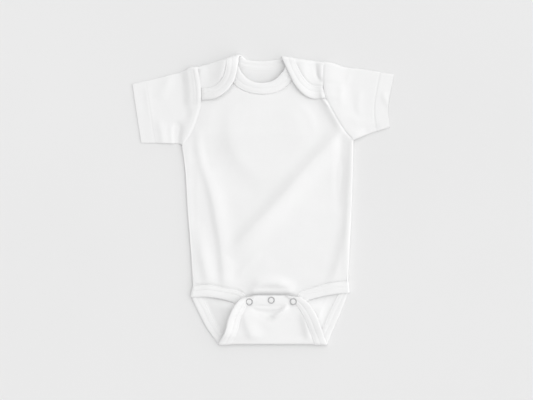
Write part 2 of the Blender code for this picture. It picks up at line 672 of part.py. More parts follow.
def build_leg(side):
    left = side == "left"
    c, sgn = (1, 1.0) if left else (3, -1.0)
    seam = Curve([(r[c], r[c + 1]) for r in FRONT_LEG])
    free = Curve([(r[c], r[c + 1]) for r in FRONT_LEG_FREE])
    stations = []

    def z_leg(x, y):
        return z_front(x, y) + 0.2
    # front edge, from the snap tab out to the side
    for u in [u for u in FRONT_U if u <= FRONT_TAB + 1e-6][::-1][:-1]:
        a, b = free(u / FRONT_TAB), seam(u / FRONT_TAB)
        stations.append(((*a, z_leg(*a)), (*b, z_leg(*b))))
    # round the rolled side
    ex, ys, yf, lean = (-90.8, -113.0, -127.2, 3.2) if left else (110.6, -107.9, -121.6, 1.2)
    zt = z_leg(ex + sgn * 2.0, ys)
    r = (zt - Z_BACK_BAND) / 2
    for ang in (180.0, 144.0, 108.0, 72.0, 36.0, 0.0):
        a = math.radians(ang)
        x, z = ex + sgn * (r - r * math.sin(a)), mix(Z_BACK_BAND, zt, (1 - math.cos(a)) / 2)
        stations.append(((x - lean * sgn, yf, z), (x, ys, z)))
    # back leg opening: a fan from the side to level rows, then down to the fold and up the flap
    hip = Curve([(r[c], r[c + 1]) for r in HIP_SEAM])
    row, cols = LEG_BACK[0], ((2, 3) if left else (5, 4))
    edge = Curve([(ex + sgn * (r - lean), yf), (ex + sgn * (r - lean + 1.6), yf - 5.0), (row[cols[0]], row[1])])
    for t in (0.25, 0.5, 0.75, 1.0):
        a, b = edge(t), hip(t)
        stations.append(((*a, Z_BACK_BAND), (*b, Z_BACK_BAND)))
    gb = Graph([(q[1], q[cols[0]], q[cols[1]]) for q in LEG_BACK])
    gf = Graph([(q[1], q[cols[0]], q[cols[1]]) for q in LEG_FLAP])
    for y in LEG_Y[::-1]:
        f, s = gb(y)
        stations.append(((f, y, Z_BACK_BAND), (s, y, Z_BACK_BAND)))
    for ang in (0.0,) + FOLD_ANGLES + (180.0,):
        a, t = math.radians(ang), ang / 180.0
        f, s = (mix(p, q, t) for p, q in zip(gb(CROTCH_Y), gf(CROTCH_Y)))
        y = CROTCH_Y - R_CROTCH * math.sin(a)
        z = mix(Z_BACK_BAND, z_flap(0, CROTCH_Y), (1 - math.cos(a)) / 2)
        stations.append(((f, y, z), (s, y, z)))
    for y in FLAP_Y[::-1]:
        f, s = gf(y)
        stations.append(((f, y, z_flap(0, y)), (s, y, z_flap(0, y))))
    return strip("leg_binding_" + side, stations, (0.0, 0.5, 1.0), RIB)


# ---------------------------------------------------------------- sleeves
def build_sleeve(side):
    left = side == "left"
    key = "L" if left else "R"
    t = SLEEVE[key]
    top, under, cuff = (Curve([p[1:] for p in t[n]]) for n in ("top", "under", "cuff"))
    arm = arm_l if left else arm_r
    out = -1.0 if left else 1.0
    # rows: share of the sleeve up to the hem's stitch line, then share of the hem
    vs = [(s, 0.0) for s in (0.0, 0.09, 0.21, 0.36, 0.53, 0.70, 0.86, 1.0)] + [(1.0, w) for w in (0.08, 0.5, 1.0)]
    across = (0.0, 0.12, 0.26, 0.42, 0.58, 0.74, 0.88, 1.0)

    def z_seam(h):
        # height of the armhole seam, from the underarm to the shoulder
        return mix(4.4, 6.8, smooth((h - 0.25) / 0.45))

    def at(sw, h):
        """Share of the way from armhole to cuff, h from the underarm to the top fold."""
        hem = 1.0 - HEM_DEPTH * 0.95 / math.dist(arm(h), cuff(h))
        return sw[0] * hem + sw[1] * (1.0 - hem)
    rows = []
    for sw in vs:
        v0, v1 = at(sw, 0.0), at(sw, 1.0)
        tx, ty = top(v1)
        ux, uy = under(v0)
        dt = 0.01
        ax, ay = top(min(1.0, v1 + dt))
        bx, by = top(max(0.0, v1 - dt))
        n = math.dist((ax, ay), (bx, by))
        nt = (-(ay - by) / n, (ax - bx) / n)
        if nt[1] < 0:
            nt = (-nt[0], -nt[1])
        ax, ay = under(min(1.0, v0 + dt))
        bx, by = under(max(0.0, v0 - dt))
        n = math.dist((ax, ay), (bx, by))
        nb = (-(ay - by) / n, (ax - bx) / n)
        if nb[1] > 0:
            nb = (-nb[0], -nb[1])

        def z_top(h):
            v = at(sw, h)
            return mix(z_seam(h), 3.9, smooth(v / 0.42)) + 0.8 * math.sin(math.pi * h) * smooth(v / 0.3) * smooth((1.15 - v) / 0.5)
        r1, r0 = (z_top(1.0) - Z_BACK) / 2, (z_top(0.0) - Z_BACK) / 2
        half = CLOTH / 2
        p1 = (tx - nt[0] * (r1 + half), ty - nt[1] * (r1 + half))
        p0 = (ux - nb[0] * (r0 + half), uy - nb[1] * (r0 + half))
        if sw[0] == 0.0:
            d0 = [p - q for p, q in zip(arm(0.03), p0)]
            d1 = [p - q for p, q in zip(arm(1.0), p1)]
        n0, n1 = clamp(1.0 - v0 / 0.3), clamp(1.0 - v1 / 0.3)
        p0 = (p0[0] + d0[0] * n0, p0[1] + d0[1] * n0)
        p1 = (p1[0] + d1[0] * n1, p1[1] + d1[1] * n1)

        def plan(h):
            # straight between the two edges, bent towards the armhole and the cuff near its ends
            v = at(sw, h)
            x, y = mix(p0[0], p1[0], h), mix(p0[1], p1[1], h)
            s = arm(mix(0.03, 1.0, h))
            s0, s1 = arm(0.03), arm(1.0)
            c = cuff(h)
            c0, c1 = cuff(0.0), cuff(1.0)
            x += (s[0] - mix(s0[0], s1[0], h)) * (1.0 - v) + (c[0] - mix(c0[0], c1[0], h)) * v
            y += (s[1] - mix(s0[1], s1[1], h)) * (1.0 - v) + (c[1] - mix(c0[1], c1[1], h)) * v
            return x + out * SEAM * 0.5 * (1.0 - v), y
        loop = []
        for h in across:                       # table layer, underarm to shoulder
            x, y = plan(h)
            loop.append((x, y, 0.0))
        for ang in (36.0, 72.0, 108.0, 144.0):  # top fold
            a = math.radians(ang)
            x, y = plan(1.0)
            ro = r1 + half
            loop.append((x + nt[0] * ro * math.sin(a), y + nt[1] * ro * math.sin(a), ro - ro * math.cos(a)))
        for h in reversed(across):             # upper layer
            x, y = plan(h)
            loop.append((x, y, z_top(h) + half))
        for ang in (144.0, 108.0, 72.0, 36.0):  # underarm fold
            a = math.radians(ang)
            x, y = plan(0.0)
            ro = r0 + half
            loop.append((x + nb[0] * ro * math.sin(a), y + nb[1] * ro * math.sin(a), ro - ro * math.cos(a)))
        loop.append(loop[0])
        rows.append(loop)
    if left:
        rows = [r[::-1] for r in rows]
    # the grid's first direction runs round the sleeve; the outer face is on the outside
    return sheet("sleeve_" + side, rows, JERSEY, HEM, offset=-1.0, close=True,
                 thick=lambda j, i: 1.0 if vs[j][1] > 0.0 else 0.0)


# ---------------------------------------------------------------- snaps
def build_snaps():
    ro, ri = SNAP_D / 2, SNAP_HOLE / 2
    for name, x, y, on in SNAPS:
        half = (BAND if on == "binding" else CLOTH) / 2
        zf, zt = z_flap(x, y), z_front(x, y)
        top, under = zf + half + LIFT, zf - half - LIFT
        low, ring = zt + CLOTH / 2 + LIFT, zt - CLOTH / 2 - LIFT
        turned("snap_cap_" + name,
               [(ri, 0.0), (ri, 0.35), (ri + 0.3, 0.75), (ro - 1.15, 1.0), (ro - 0.45, 0.85), (ro, 0.35), (ro, 0.0)],
               x, y, top, METAL)
        turned("snap_socket_" + name,
               [(0.0, 0.0), (4.2, 0.0), (4.2, -1.5), (1.9, -1.5), (1.9, -1.1), (0.0, -1.1)],
               x, y, under, METAL)
        post = under - 1.1 - LIFT - low
        turned("snap_stud_" + name,
               [(0.0, post), (1.5, post), (1.5, 0.6), (4.2, 0.6), (4.2, 0.0), (0.0, 0.0)],
               x, y, low, METAL)
        turned("snap_ring_" + name,
               [(ri, 0.0), (ro, 0.0), (ro, -0.8), (ri, -0.8)],
               x, y, ring, METAL)


# ---------------------------------------------------------------- build
for ob in list(bpy.data.objects):
    bpy.data.objects.remove(ob, do_unlink=True)

PARTS = bpy.data.collections.new("baby_onesie")
bpy.context.scene.collection.children.link(PARTS)
JERSEY = material("jersey", WHITE, 0.9)
RIB = material("rib", RIB_WHITE, 0.9)
METAL = material("snap_metal", STEEL, 0.3, 1.0)

build_back()
build_front()
build_back_neck()
build_front_neck()
build_leg("left")
build_leg("right")
build_sleeve("left")
build_sleeve("right")
build_snaps()
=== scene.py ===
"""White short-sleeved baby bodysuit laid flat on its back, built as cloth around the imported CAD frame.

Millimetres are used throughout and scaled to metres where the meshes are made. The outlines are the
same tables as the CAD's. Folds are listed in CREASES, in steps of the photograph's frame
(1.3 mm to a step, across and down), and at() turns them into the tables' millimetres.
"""
import math

import bpy
import numpy as np
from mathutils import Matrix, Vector


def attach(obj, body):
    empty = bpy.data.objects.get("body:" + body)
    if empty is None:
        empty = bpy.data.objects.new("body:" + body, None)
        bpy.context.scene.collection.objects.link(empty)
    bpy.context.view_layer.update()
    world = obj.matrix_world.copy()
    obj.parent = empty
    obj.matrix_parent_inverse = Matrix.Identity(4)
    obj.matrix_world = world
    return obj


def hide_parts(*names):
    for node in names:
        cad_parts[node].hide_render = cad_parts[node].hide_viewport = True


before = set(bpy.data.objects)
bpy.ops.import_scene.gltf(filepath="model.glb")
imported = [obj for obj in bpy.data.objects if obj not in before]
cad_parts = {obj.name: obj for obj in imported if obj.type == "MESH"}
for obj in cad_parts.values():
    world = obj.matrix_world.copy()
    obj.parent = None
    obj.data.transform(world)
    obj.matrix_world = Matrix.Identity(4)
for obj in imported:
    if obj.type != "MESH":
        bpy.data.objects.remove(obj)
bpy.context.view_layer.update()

MM = 0.001
MIDDLE = np.array([-0.10, -0.155, 0.0])

JERSEY = 0.7           # visible jersey wall
SLEEVE_JERSEY = 0.34   # and of the sleeves, which lie four walls deep at the hem
RIB_T = 2.3            # folded rib band
SEAM = 0.5
HEM_DEPTH = 18.0
SNAP_D = 9.2
CROTCH_Y = -185.6
R_CROTCH = 2.4
R_SHOULDER = 2.8
Z_BACK = 0.6
Z_BACK_BAND = 1.25


def at(across, down):
    """Table millimetres of a place in the photograph's frame."""
    return (across - 263.0) * 1.3, (199.5 - down) * 1.3


# ------------------------------------------------------------------ outlines, as in the CAD
SIDE = [  # name, left x, left y, right x, right y
    ("hip",        -91.0, -112.5, 110.2, -107.3),
    ("low side",   -94.6,  -58.0, 112.8,  -58.0),
    ("waist",      -98.2,  -13.0, 115.0,  -15.0),
    ("chest",     -101.2,   37.6, 116.6,   37.6),
    ("underarm",  -105.6,   70.0, 117.4,   77.0),
]
ARMHOLE = [
    ("underarm",     -105.6,  70.0, 117.4,  77.0),
    ("low",           -93.1,  87.8, 106.0,  90.4),
    ("mid",           -84.0, 111.8,  92.6, 111.8),
    ("lap end",       -80.5, 129.4,  81.6, 134.0),
    ("high",          -81.2, 150.2,  78.2, 155.0),
    ("shoulder tip",  -84.5, 169.0,  79.0, 175.5),
]
FOLD = {
    "L": ((-84.5, 168.9), (-28.6, 185.0)),
    "R": ((79.0, 175.5), (24.0, 182.3)),
}
LEG_BACK = [  # name, y, free left, seam left, seam right, free right
    ("hip low",   -143.6, -85.7, -71.5, 88.5, 102.4),
    ("leg",       -156.6, -79.4, -65.4, 83.0,  96.8),
    ("leg low",   -169.7, -72.0, -57.6, 77.0,  91.2),
    ("crotch",    CROTCH_Y, -60.0, -45.0, 69.6, 84.6),
]
LEG_FLAP = [
    ("crotch",    CROTCH_Y, -57.2, -42.0, 67.4, 82.4),
    ("low",       -171.0, -49.4, -34.6, 61.6,  77.2),
    ("mid",       -155.0, -45.2, -30.4, 55.4,  71.4),
    ("high",      -140.0, -38.6, -23.6, 46.6,  63.4),
    ("corner",    -131.0, -31.4, -16.6, 38.4,  55.0),
    ("top",       -124.4, -23.6,  -9.4, 30.0,  44.6),
]
HIP_SEAM = [  # name, left x, left y, right x, right y
    ("side seam", -90.6, -112.9, 109.6, -107.8),
    ("turn",      -84.0, -121.0, 103.4, -115.6),
    ("curve",     -77.4, -131.6,  96.2, -128.0),
    ("row",       -71.5, -143.6,  88.5, -143.6),
]
FRONT_LEG = [  # name, left x, left y, right x, right y
    ("side",  -90.6, -112.0, 109.8, -106.9),
    ("out",   -71.0, -111.8,  86.0, -109.6),
    ("in",    -48.1, -116.4,  61.5, -116.8),
    ("turn",  -26.2, -122.6,  47.0, -122.4),
    ("tab",   -23.4, -132.0,  45.4, -132.0),
    ("end",   -22.6, -147.0,  44.6, -147.0),
]
FRONT_LEG_FREE = [
    ("side",  -90.6, -126.9, 109.8, -121.2),
    ("out",   -70.0, -127.2,  86.0, -124.3),
    ("in",    -50.4, -130.6,  61.0, -130.4),
    ("turn",  -38.6, -135.0,  57.4, -133.6),
    ("tab",   -36.0, -140.0,  56.6, -140.0),
    ("end",   -35.6, -147.0,  56.4, -147.0),
]
FRONT_NECK = [  # name, seam x, seam y, free x, free y
    ("left end",   -48.8, 178.4, -36.0, 182.2),
    ("left high",  -45.0, 168.6, -32.6, 174.6),
    ("left",       -36.8, 151.4, -26.8, 163.5),
    ("left low",   -24.1, 142.4, -16.1, 154.3),
    ("middle",      -2.6, 137.8,  -2.6, 151.5),
    ("right low",   18.2, 141.1,  12.6, 154.3),
    ("right",       33.6, 151.4,  23.4, 163.5),
    ("right high",  41.8, 166.0,  29.6, 172.9),
    ("right end",   45.6, 177.4,  33.2, 179.8),
]
BACK_NECK = [
    ("left fold",  -42.6, 181.0, -26.0, 185.8),
    ("left",       -32.6, 174.6, -21.5, 182.1),
    ("left low",   -19.0, 169.8, -13.0, 180.7),
    ("middle",      -2.6, 168.2,  -2.6, 180.1),
    ("right low",   14.0, 169.2,  10.4, 180.8),
    ("right",       28.0, 173.6,  18.4, 182.2),
    ("right fold",  38.4, 180.5,  22.6, 182.5),
]
LAP = {
    "L": [
        ("fold",     -46.2, 179.9, -31.2, 184.3),
        ("neck",     -47.6, 168.4, -33.4, 168.8),
        ("upper",    -51.8, 157.0, -37.3, 154.3),
        ("corner",   -60.6, 147.6, -47.6, 140.6),
        ("lower",    -69.6, 143.8, -61.6, 131.6),
        ("armhole",  -79.9, 142.9, -79.7, 128.9),
    ],
    "R": [
        ("fold",      39.8, 180.4,  26.8, 182.0),
        ("neck",      45.4, 168.0,  34.6, 166.0),
        ("upper",     53.6, 154.8,  42.9, 149.8),
        ("corner",    61.6, 148.0,  52.9, 138.6),
        ("lower",     69.6, 146.0,  65.4, 132.4),
        ("armhole",   77.8, 146.0,  81.2, 132.8),
    ],
}
SLEEVE = {
    "L": {
        "top":   [("seam", -84.5, 172.2), ("bend", -94.4, 171.3), ("drop", -104.4, 166.1),
                  ("mid", -134.0, 158.4), ("cuff", -170.2, 150.2)],
        "under": [("seam", -106.4, 69.7), ("mid", -124.8, 73.3), ("cuff", -158.6, 73.8)],
        "cuff":  [("under", -158.6, 73.8), ("mid", -164.8, 112.6), ("top", -170.2, 150.2)],
    },
    "R": {
        "top":   [("seam", 79.4, 178.8), ("bend", 89.7, 177.5), ("drop", 106.0, 172.0),
                  ("mid", 132.6, 168.8), ("cuff", 170.0, 162.2)],
        "under": [("seam", 118.2, 77.6), ("mid", 142.0, 87.0), ("cuff", 164.8, 94.6)],
        "cuff":  [("under", 164.8, 94.6), ("mid", 162.8, 120.3), ("top", 170.0, 162.2)],
    },
}
SNAPS = [("1", -17.6, -132.6), ("2", 10.8, -130.6), ("3", 39.4, -132.4)]

# ------------------------------------------------------------------ folds, listed one by one
# Each row: name, height, width on the line's left, width on its right, then points (across, down, share
# of the height). A line drawn down the picture has the viewer's right on its left; one drawn to the
# right has the neck side on its left. Negative heights are troughs.
FRONT_CREASES = [
    ("long diagonal",      3.9, 20.0, 12.5, ((345, 128, 0), (338, 137, .6), (330, 145, .9), (319, 156, 1), (302, 175, 1),
                                             (283, 197, 1), (265, 216.5, .95), (249, 233, .75), (239, 245, .45), (229, 257, 0))),
    ("from the armhole",   1.5,  5.0,  7.5, ((321, 94, 0), (327, 103, 1), (333, 113, 1), (339, 124, .8), (343, 134, 0))),
    ("right valley",      -0.9,  6.0,  8.0, ((345, 128, 0), (341, 140, 1), (340, 170, 1), (338.5, 195, .6), (337, 215, 0))),
    ("right bulge",        1.9,  8.5,  7.5, ((353, 136, .5), (351.6, 150, 1), (350.8, 172, 1), (348.8, 200, 1), (348, 230, .75), (347.4, 255, .5), (347, 270, .45), (346.5, 290, .45))),
    ("right low bulge",    2.0, 18.0, 10.0, ((349, 208, 0), (347.5, 225, .5), (344.5, 242, .9), (341.5, 257, 1), (337.5, 270, 1), (331, 286, .9))),
    ("left rim",           0.4,  6.5,  6.0, ((187, 146, .4), (188, 165, 1), (188.3, 200, 1), (190, 220, 1), (192, 240, .9), (193.3, 260, .8), (195, 280, .8))),
    ("left upright",       1.9, 15.0,  7.5, ((205, 166, 0), (206.5, 175, .5), (209, 184, .8), (213.3, 200, 1), (217, 220, 1.05),
                                             (220.5, 240, 1.1), (222.8, 260, 1.05), (224.3, 278, .85), (225, 292, .7))),
    ("left top upright",   1.0,  8.5,  7.0, ((197.5, 124, 0), (198, 134, .5), (199, 150, 1), (202, 164, 1), (205, 176, .3), (207, 184, 0))),
    ("left inner upright", 1.7, 12.0,  9.0, ((199, 222, 0), (200.5, 240, .5), (203.5, 260, 1), (207.5, 278, 1.1), (209, 292, 1))),
    ("ring left",          0.4, 12.0, 11.0, ((240, 104, 0), (231, 114, .8), (229, 128, 1), (231, 144, 1), (238, 158, 1), (249, 172, .8), (264, 184, 0))),
    ("ring right",         0.4,  8.0,  8.0, ((292, 100, 0), (303, 108, .9), (310, 118, 1), (313, 130, .6), (310, 142, 0))),
    ("above flap puff",    3.0,  8.5,  6.5, ((249, 293, 0), (253.5, 288, .5), (259.5, 284.2, 1), (269, 283, 1), (280, 284, 1), (289, 287, .5), (296, 290.5, 0))),
    ("above flap bulge",   1.4,  3.0,  2.6, ((248, 293.5, 0), (255, 292, .9), (266, 291.4, 1), (280, 291.6, 1), (291, 292.2, .8), (300, 293.5, 0))),
    ("flap crevice",      -2.6,  2.2,  4.0, ((247, 297.5, 0), (253, 296, .8), (260, 295.2, 1), (272, 295.0, 1), (284, 295.2, 1), (294, 296.2, .5), (299, 298, 0))),
    ("armhole tuck",       0.9,  1.8,  1.8, ((320.5, 96, .6), (323, 100, 1), (327, 105, .7), (330, 109, 0))),
    ("low left streak",    0.5,  6.0,  6.0, ((262, 252, 0), (252, 260, .8), (243, 269, .8), (236, 280, 0))),
]
# soft mounds of the front panel: across, down, reach across, reach down, height
FRONT_MOUNDS = [
    (268, 136, 52, 58, 2.3),
    (286, 236, 66, 50, 0.9),
]
LAP_CREASES = [
    ("left hump",          2.9, 30.0, 11.5, ((227, 58, .6), (225.5, 66, 1), (222.5, 76, 1), (216, 86, .4), (208, 92, 0))),
    ("left hollow",       -0.6,  8.0,  8.0, ((206, 60, .6), (207, 70, 1), (207, 80, .8), (206, 90, 0))),
    ("right pucker",      -1.4,  2.8,  4.0, ((315, 62, 0), (316, 68, .9), (316.3, 73, 1), (318, 78, .9), (321.5, 82.5, .4), (324, 85, 0))),
    ("right pucker edge", -0.9,  1.3,  2.0, ((317.5, 65, 0), (316.8, 69, .8), (316.8, 73, 1), (318.4, 77.5, 1), (321, 81, .4), (323, 83, 0))),
    ("right ridge",        0.5,  3.0,  3.0, ((320, 63, .3), (321, 70, 1), (322, 76, 1), (323.5, 82, .3))),
    ("right soft",         0.8,  8.0,  8.0, ((301, 60, .4), (303, 68, 1), (306, 78, 1), (312, 86, .2))),
]
LEFT_SLEEVE_CREASES = [
    ("underarm trough",   -2.8,  7.0,  6.5, ((178.5, 121, 0), (178, 128, .8), (177, 136, 1), (177, 146, 1))),
    ("low ridge",          0.9,  7.0,  6.0, ((157, 118, 0), (160, 126, .8), (162, 136, 1), (163, 144, .8))),
    ("underarm ridge",     0.4,  5.0,  4.0, ((171, 124, 0), (171.5, 130, .8), (172, 137, 1), (173, 144, .6))),
    ("upper ridge",        1.0,  8.0,  8.0, ((170, 74, .5), (167, 84, 1), (162, 92, .7), (158, 100, 0))),
    ("hem fold",           0.35, 6.0,  5.0, ((146, 84, 0), (147, 94, 1), (148.5, 106, 1), (150, 118, .6), (151, 128, 0))),
]
RIGHT_SLEEVE_CREASES = [
    ("soft 1",             0.7,  7.0,  6.0, ((342, 80, 0), (341, 90, 1), (341, 100, .8), (343, 110, 0))),
    ("soft 2",             0.6,  7.0,  6.0, ((360, 88, 0), (359, 98, 1), (358, 108, 1), (360, 118, 0))),
    ("soft 3",             0.5,  5.0,  5.0, ((353, 68, .4), (349, 76, 1), (346, 86, 0))),
    ("hem dent",           0.7,  5.0,  5.0, ((384, 90, 0), (384.5, 97, 1), (388, 104, .8), (391, 108, 0))),
    ("under edge",        -0.7,  5.0,  6.0, ((358, 134, 0), (366, 129.5, 1), (374, 127, 1), (380, 124, 0))),
    ("low middle",         0.6,  9.0,  9.0, ((350, 112, 0), (356, 120, 1), (366, 124, .6), (374, 120, 0))),
]
FLAP_CREASES = [
    ("at the hem",        -0.5,  2.4,  2.6, ((247, 304, 0), (254, 304, 1), (264, 305.5, 1), (274, 305, .8), (283, 303, 0))),
    ("under the hem",     -1.6,  2.6,  3.2, ((250, 306, 0), (256, 310, .7), (266, 311.6, 1), (275, 311.3, 1), (282, 309, .8), (287, 305.5, 0))),
    ("slant",              4.2,  4.6,  3.6, ((288.5, 304.5, 0), (285, 308, .8), (281, 311.6, 1), (276, 315, .9), (271, 317.5, .3), (266, 319, 0))),
    ("arc",                0.7,  6.0,  9.0, ((249, 314, 0), (256, 317.5, 1), (264, 318.5, .8), (270, 318.5, 0))),
    ("left ridge",         2.0, 14.0,  7.5, ((245, 308, 0), (245.5, 316, .8), (247.5, 325, 1), (251.5, 335, 1), (254, 345, .4))),
    ("right ridge",        2.6,  7.0,  7.5, ((301, 308, 0), (304.5, 317, .8), (307, 327, 1), (310, 343, .8))),
    ("middle soft",        0.5,  9.0,  9.0, ((262, 322, 0), (272, 328, 1), (286, 326, .8), (294, 318, 0))),
]
BACK_CREASES = [
    ("left opening",       0.4,  6.0,  6.0, ((208, 300, 0), (213, 312, 1), (220, 326, .8), (226, 336, 0))),
    ("right opening",      0.6,  5.0,  5.0, ((316, 300, 0), (320, 308, 1), (319, 322, .8), (322, 334, 0))),
]


# ------------------------------------------------------------------ maths
def clamp(t):
    return np.clip(t, 0.0, 1.0)


def smooth(t):
    t = clamp(t)
    return t * t * (3.0 - 2.0 * t)


def mix(a, b, t):
    return a + (b - a) * t


def unit(v):
    return v / np.maximum(np.linalg.norm(v, axis=-1, keepdims=True), 1e-9)


class Curve:
    """Smooth curve through table points, read by share of its chord length."""

    def __init__(self, points):
        self.p = np.array(points, float)
        d = np.linalg.norm(np.diff(self.p[:, :2], axis=0), axis=1)
        s = np.concatenate([[0.0], np.cumsum(d)])
        self.length, self.s = s[-1], s / s[-1]
        n = np.arange(len(self.p))
        lo, hi = np.maximum(n - 1, 0), np.minimum(n + 1, len(n) - 1)
        self.m = (self.p[hi] - self.p[lo]) / (self.s[hi] - self.s[lo])[:, None]

    def __call__(self, t):
        t = clamp(np.asarray(t, float))
        i = np.clip(np.searchsorted(self.s, t, side="left") - 1, 0, len(self.s) - 2)
        h = (self.s[i + 1] - self.s[i])[..., None]
        u = (t - self.s[i])[..., None] / h
        return ((2 * u ** 3 - 3 * u ** 2 + 1) * self.p[i] + (u ** 3 - 2 * u ** 2 + u) * h * self.m[i]
                + (3 * u ** 2 - 2 * u ** 3) * self.p[i + 1] + (u ** 3 - u ** 2) * h * self.m[i + 1])

    def off(self, t, d):
        """Points d mm to the left of the curve's direction."""
        t = np.asarray(t, float)
        a, b = self(t - 0.01), self(t + 0.01)
        v = unit(b - a)
        d = np.asarray(d, float)[..., None]
        return self(t) + d * np.stack([-v[..., 1], v[..., 0]], -1)


class Graph:
    """Smooth function of one rising variable through table rows (monotone cubic)."""

    def __init__(self, rows):
        rows = np.array(sorted(rows), float)
        self.x, self.y = rows[:, 0], rows[:, 1:]
        d = np.diff(self.y, axis=0) / np.diff(self.x)[:, None]
        self.m = np.zeros_like(self.y)
        self.m[0], self.m[-1] = d[0], d[-1]
        a, b = d[:-1], d[1:]
        same = a * b > 0
        self.m[1:-1] = np.where(same, 2 * a * b / np.where(same, a + b, 1.0), 0.0)

    def __call__(self, x):
        x = np.clip(np.asarray(x, float), self.x[0], self.x[-1])
        i = np.clip(np.searchsorted(self.x, x, side="left") - 1, 0, len(self.x) - 2)
        h = (self.x[i + 1] - self.x[i])[..., None]
        u = (x - self.x[i])[..., None] / h
        return ((2 * u ** 3 - 3 * u ** 2 + 1) * self.y[i] + (u ** 3 - 2 * u ** 2 + u) * h * self.m[i]
                + (3 * u ** 2 - 2 * u ** 3) * self.y[i + 1] + (u ** 3 - u ** 2) * h * self.m[i + 1])


def near(x, y, line):
    """Signed distance to a polyline (positive on its left) and its further columns there."""
    best = np.full(x.shape, 1e9)
    sign = np.ones(x.shape)
    extra = np.zeros(x.shape + (line.shape[1] - 2,))
    for a, b in zip(line[:-1], line[1:]):
        dx, dy = b[0] - a[0], b[1] - a[1]
        t = clamp(((x - a[0]) * dx + (y - a[1]) * dy) / (dx * dx + dy * dy + 1e-12))
        rx, ry = x - (a[0] + t * dx), y - (a[1] + t * dy)
        d = np.hypot(rx, ry)
        m = d < best
        best = np.where(m, d, best)
        sign = np.where(m, np.where(dx * ry - dy * rx >= 0, 1.0, -1.0), sign)
        if extra.shape[-1]:
            extra = np.where(m[..., None], a[2:] + t[..., None] * (b[2:] - a[2:]), extra)
    return best * sign, extra


def creases(x, y, rows):
    """Height of the listed ridges and troughs at plan places (x, y)."""
    z = np.zeros(x.shape)
    for _, height, wl, wr, pts in rows:
        c = Curve([(*at(p[0], p[1]), p[2]) for p in pts])
        line = c(np.linspace(0, 1, 5 * len(pts)))
        reach = 2.6 * max(wl, wr)
        m = ((x > line[:, 0].min() - reach) & (x < line[:, 0].max() + reach)
             & (y > line[:, 1].min() - reach) & (y < line[:, 1].max() + reach))
        if m.any():
            d, e = near(x[m], y[m], line)
            z[m] += height * clamp(e[:, 0]) * np.exp(-1.6 * (d / np.where(d > 0, wl, wr)) ** 2)
    return z


def ripple(x, y, size, seed):
    """Very soft unevenness, the same on every run."""
    r = np.random.RandomState(seed)
    z = np.zeros(np.shape(x))
    for k in range(7):
        a, w, p = r.uniform(0, math.pi), size * r.uniform(0.6, 1.8), r.uniform(0, 6.28)
        z += np.sin((x * math.cos(a) + y * math.sin(a)) * 2 * math.pi / w + p + 1.3 * np.sin(x / w + y / (1.7 * w) + p))
    return z / 7


side_l, side_r = Curve([(r[1], r[2]) for r in SIDE]), Curve([(r[3], r[4]) for r in SIDE])
arm_l, arm_r = Curve([(r[1], r[2]) for r in ARMHOLE]), Curve([(r[3], r[4]) for r in ARMHOLE])
edge_l, edge_r = Graph([(r[2], r[1]) for r in SIDE]), Graph([(r[4], r[3]) for r in SIDE])
arm_line_l, arm_line_r = arm_l(np.linspace(0, 1, 60)), arm_r(np.linspace(0, 1, 60))


leg_line_l = Curve([(r[1], r[2]) for r in FRONT_LEG])(np.linspace(0, 1, 40))
leg_line_r = Curve([(r[3], r[4]) for r in FRONT_LEG])(np.linspace(0, 1, 40))
neck_line = Curve([(r[1], r[2]) for r in FRONT_NECK])(np.linspace(0, 1, 60))


def fold_frame(side):
    a, b = (np.array(p) for p in FOLD[side])
    f = unit(b - a)
    q = np.array([-f[1], f[0]]) if side == "L" else np.array([f[1], -f[0]])
    return f, q


# ------------------------------------------------------------------ heights of the layers
def z_front(x, y):
    """Middle surface of the front panel on the back panel."""
    x, y = np.broadcast_arrays(np.asarray(x, float), np.asarray(y, float))
    z = np.full(x.shape, 2.35)
    for mx, my, ra, rd, h in FRONT_MOUNDS:
        cx, cy = at(mx, my)
        r = np.hypot((x - cx) / (1.3 * ra), (y - cy) / (1.3 * rd))
        z += h * (1.0 - smooth((r - 0.55) / 0.55))
    a = np.minimum(np.abs(near(x, y, arm_line_l)[0]), np.abs(near(x, y, arm_line_r)[0]))
    up = smooth((y - 62.0) / 20.0)
    z += mix(-0.9, 1.5 + 0.7 * smooth((y - 116.0) / 22.0), smooth((x + 10.0) / 60.0)) * np.exp(-(a / 9.0) ** 2) * up
    # the chest stands higher toward the left armhole
    z += (1.8 * smooth((20.0 - x) / 90.0) + 1.2) * smooth((y - 56.0) / 34.0)
    z += (1.3 * smooth((y - 148.0) / 20.0) + 0.4 * smooth((y - 120.0) / 20.0)) * mix(1.0, 0.2, smooth((np.abs(x + 2.0) - 48.0) / 24.0))
    z += 0.6 * smooth((-112.0 - y) / 12.0) * smooth((66.0 - np.abs(x - 10.0)) / 30.0)
    z += 1.1 * smooth((-92.0 - y) / 18.0) * smooth((np.abs(x - 10.0) - 38.0) / 26.0)
    legs = np.minimum(near(x, y, leg_line_l)[0], -near(x, y, leg_line_r)[0])
    z -= 0.6 * smooth((-84.0 - x) / 14.0) * smooth((60.0 - y) / 20.0)
    z += 1.25 * creases(x, y, FRONT_CREASES) * (0.3 + 0.7 * smooth((legs + 1.0) / 15.0))
    z += 0.16 * ripple(x, y, 46.0, 3) + 0.05 * ripple(x, y, 14.0, 4)
    return np.maximum(z, 1.75)


def z_lap(x, y):
    x, y = np.broadcast_arrays(np.asarray(x, float), np.asarray(y, float))
    over = np.where(x < 0, mix(2.1, 2.75, smooth((x + 66.0) / 22.0)), mix(2.75, 1.7, smooth((x - 50.0) / 24.0)))
    return z_front(x, y) + over + creases(x, y, LAP_CREASES)


Z_FLAP = Graph([(CROTCH_Y - 5, 5.9), (CROTCH_Y, 5.9), (-172.0, 6.3), (-150.0, 7.7), (-138.0, 8.1), (-120.0, 8.1)])


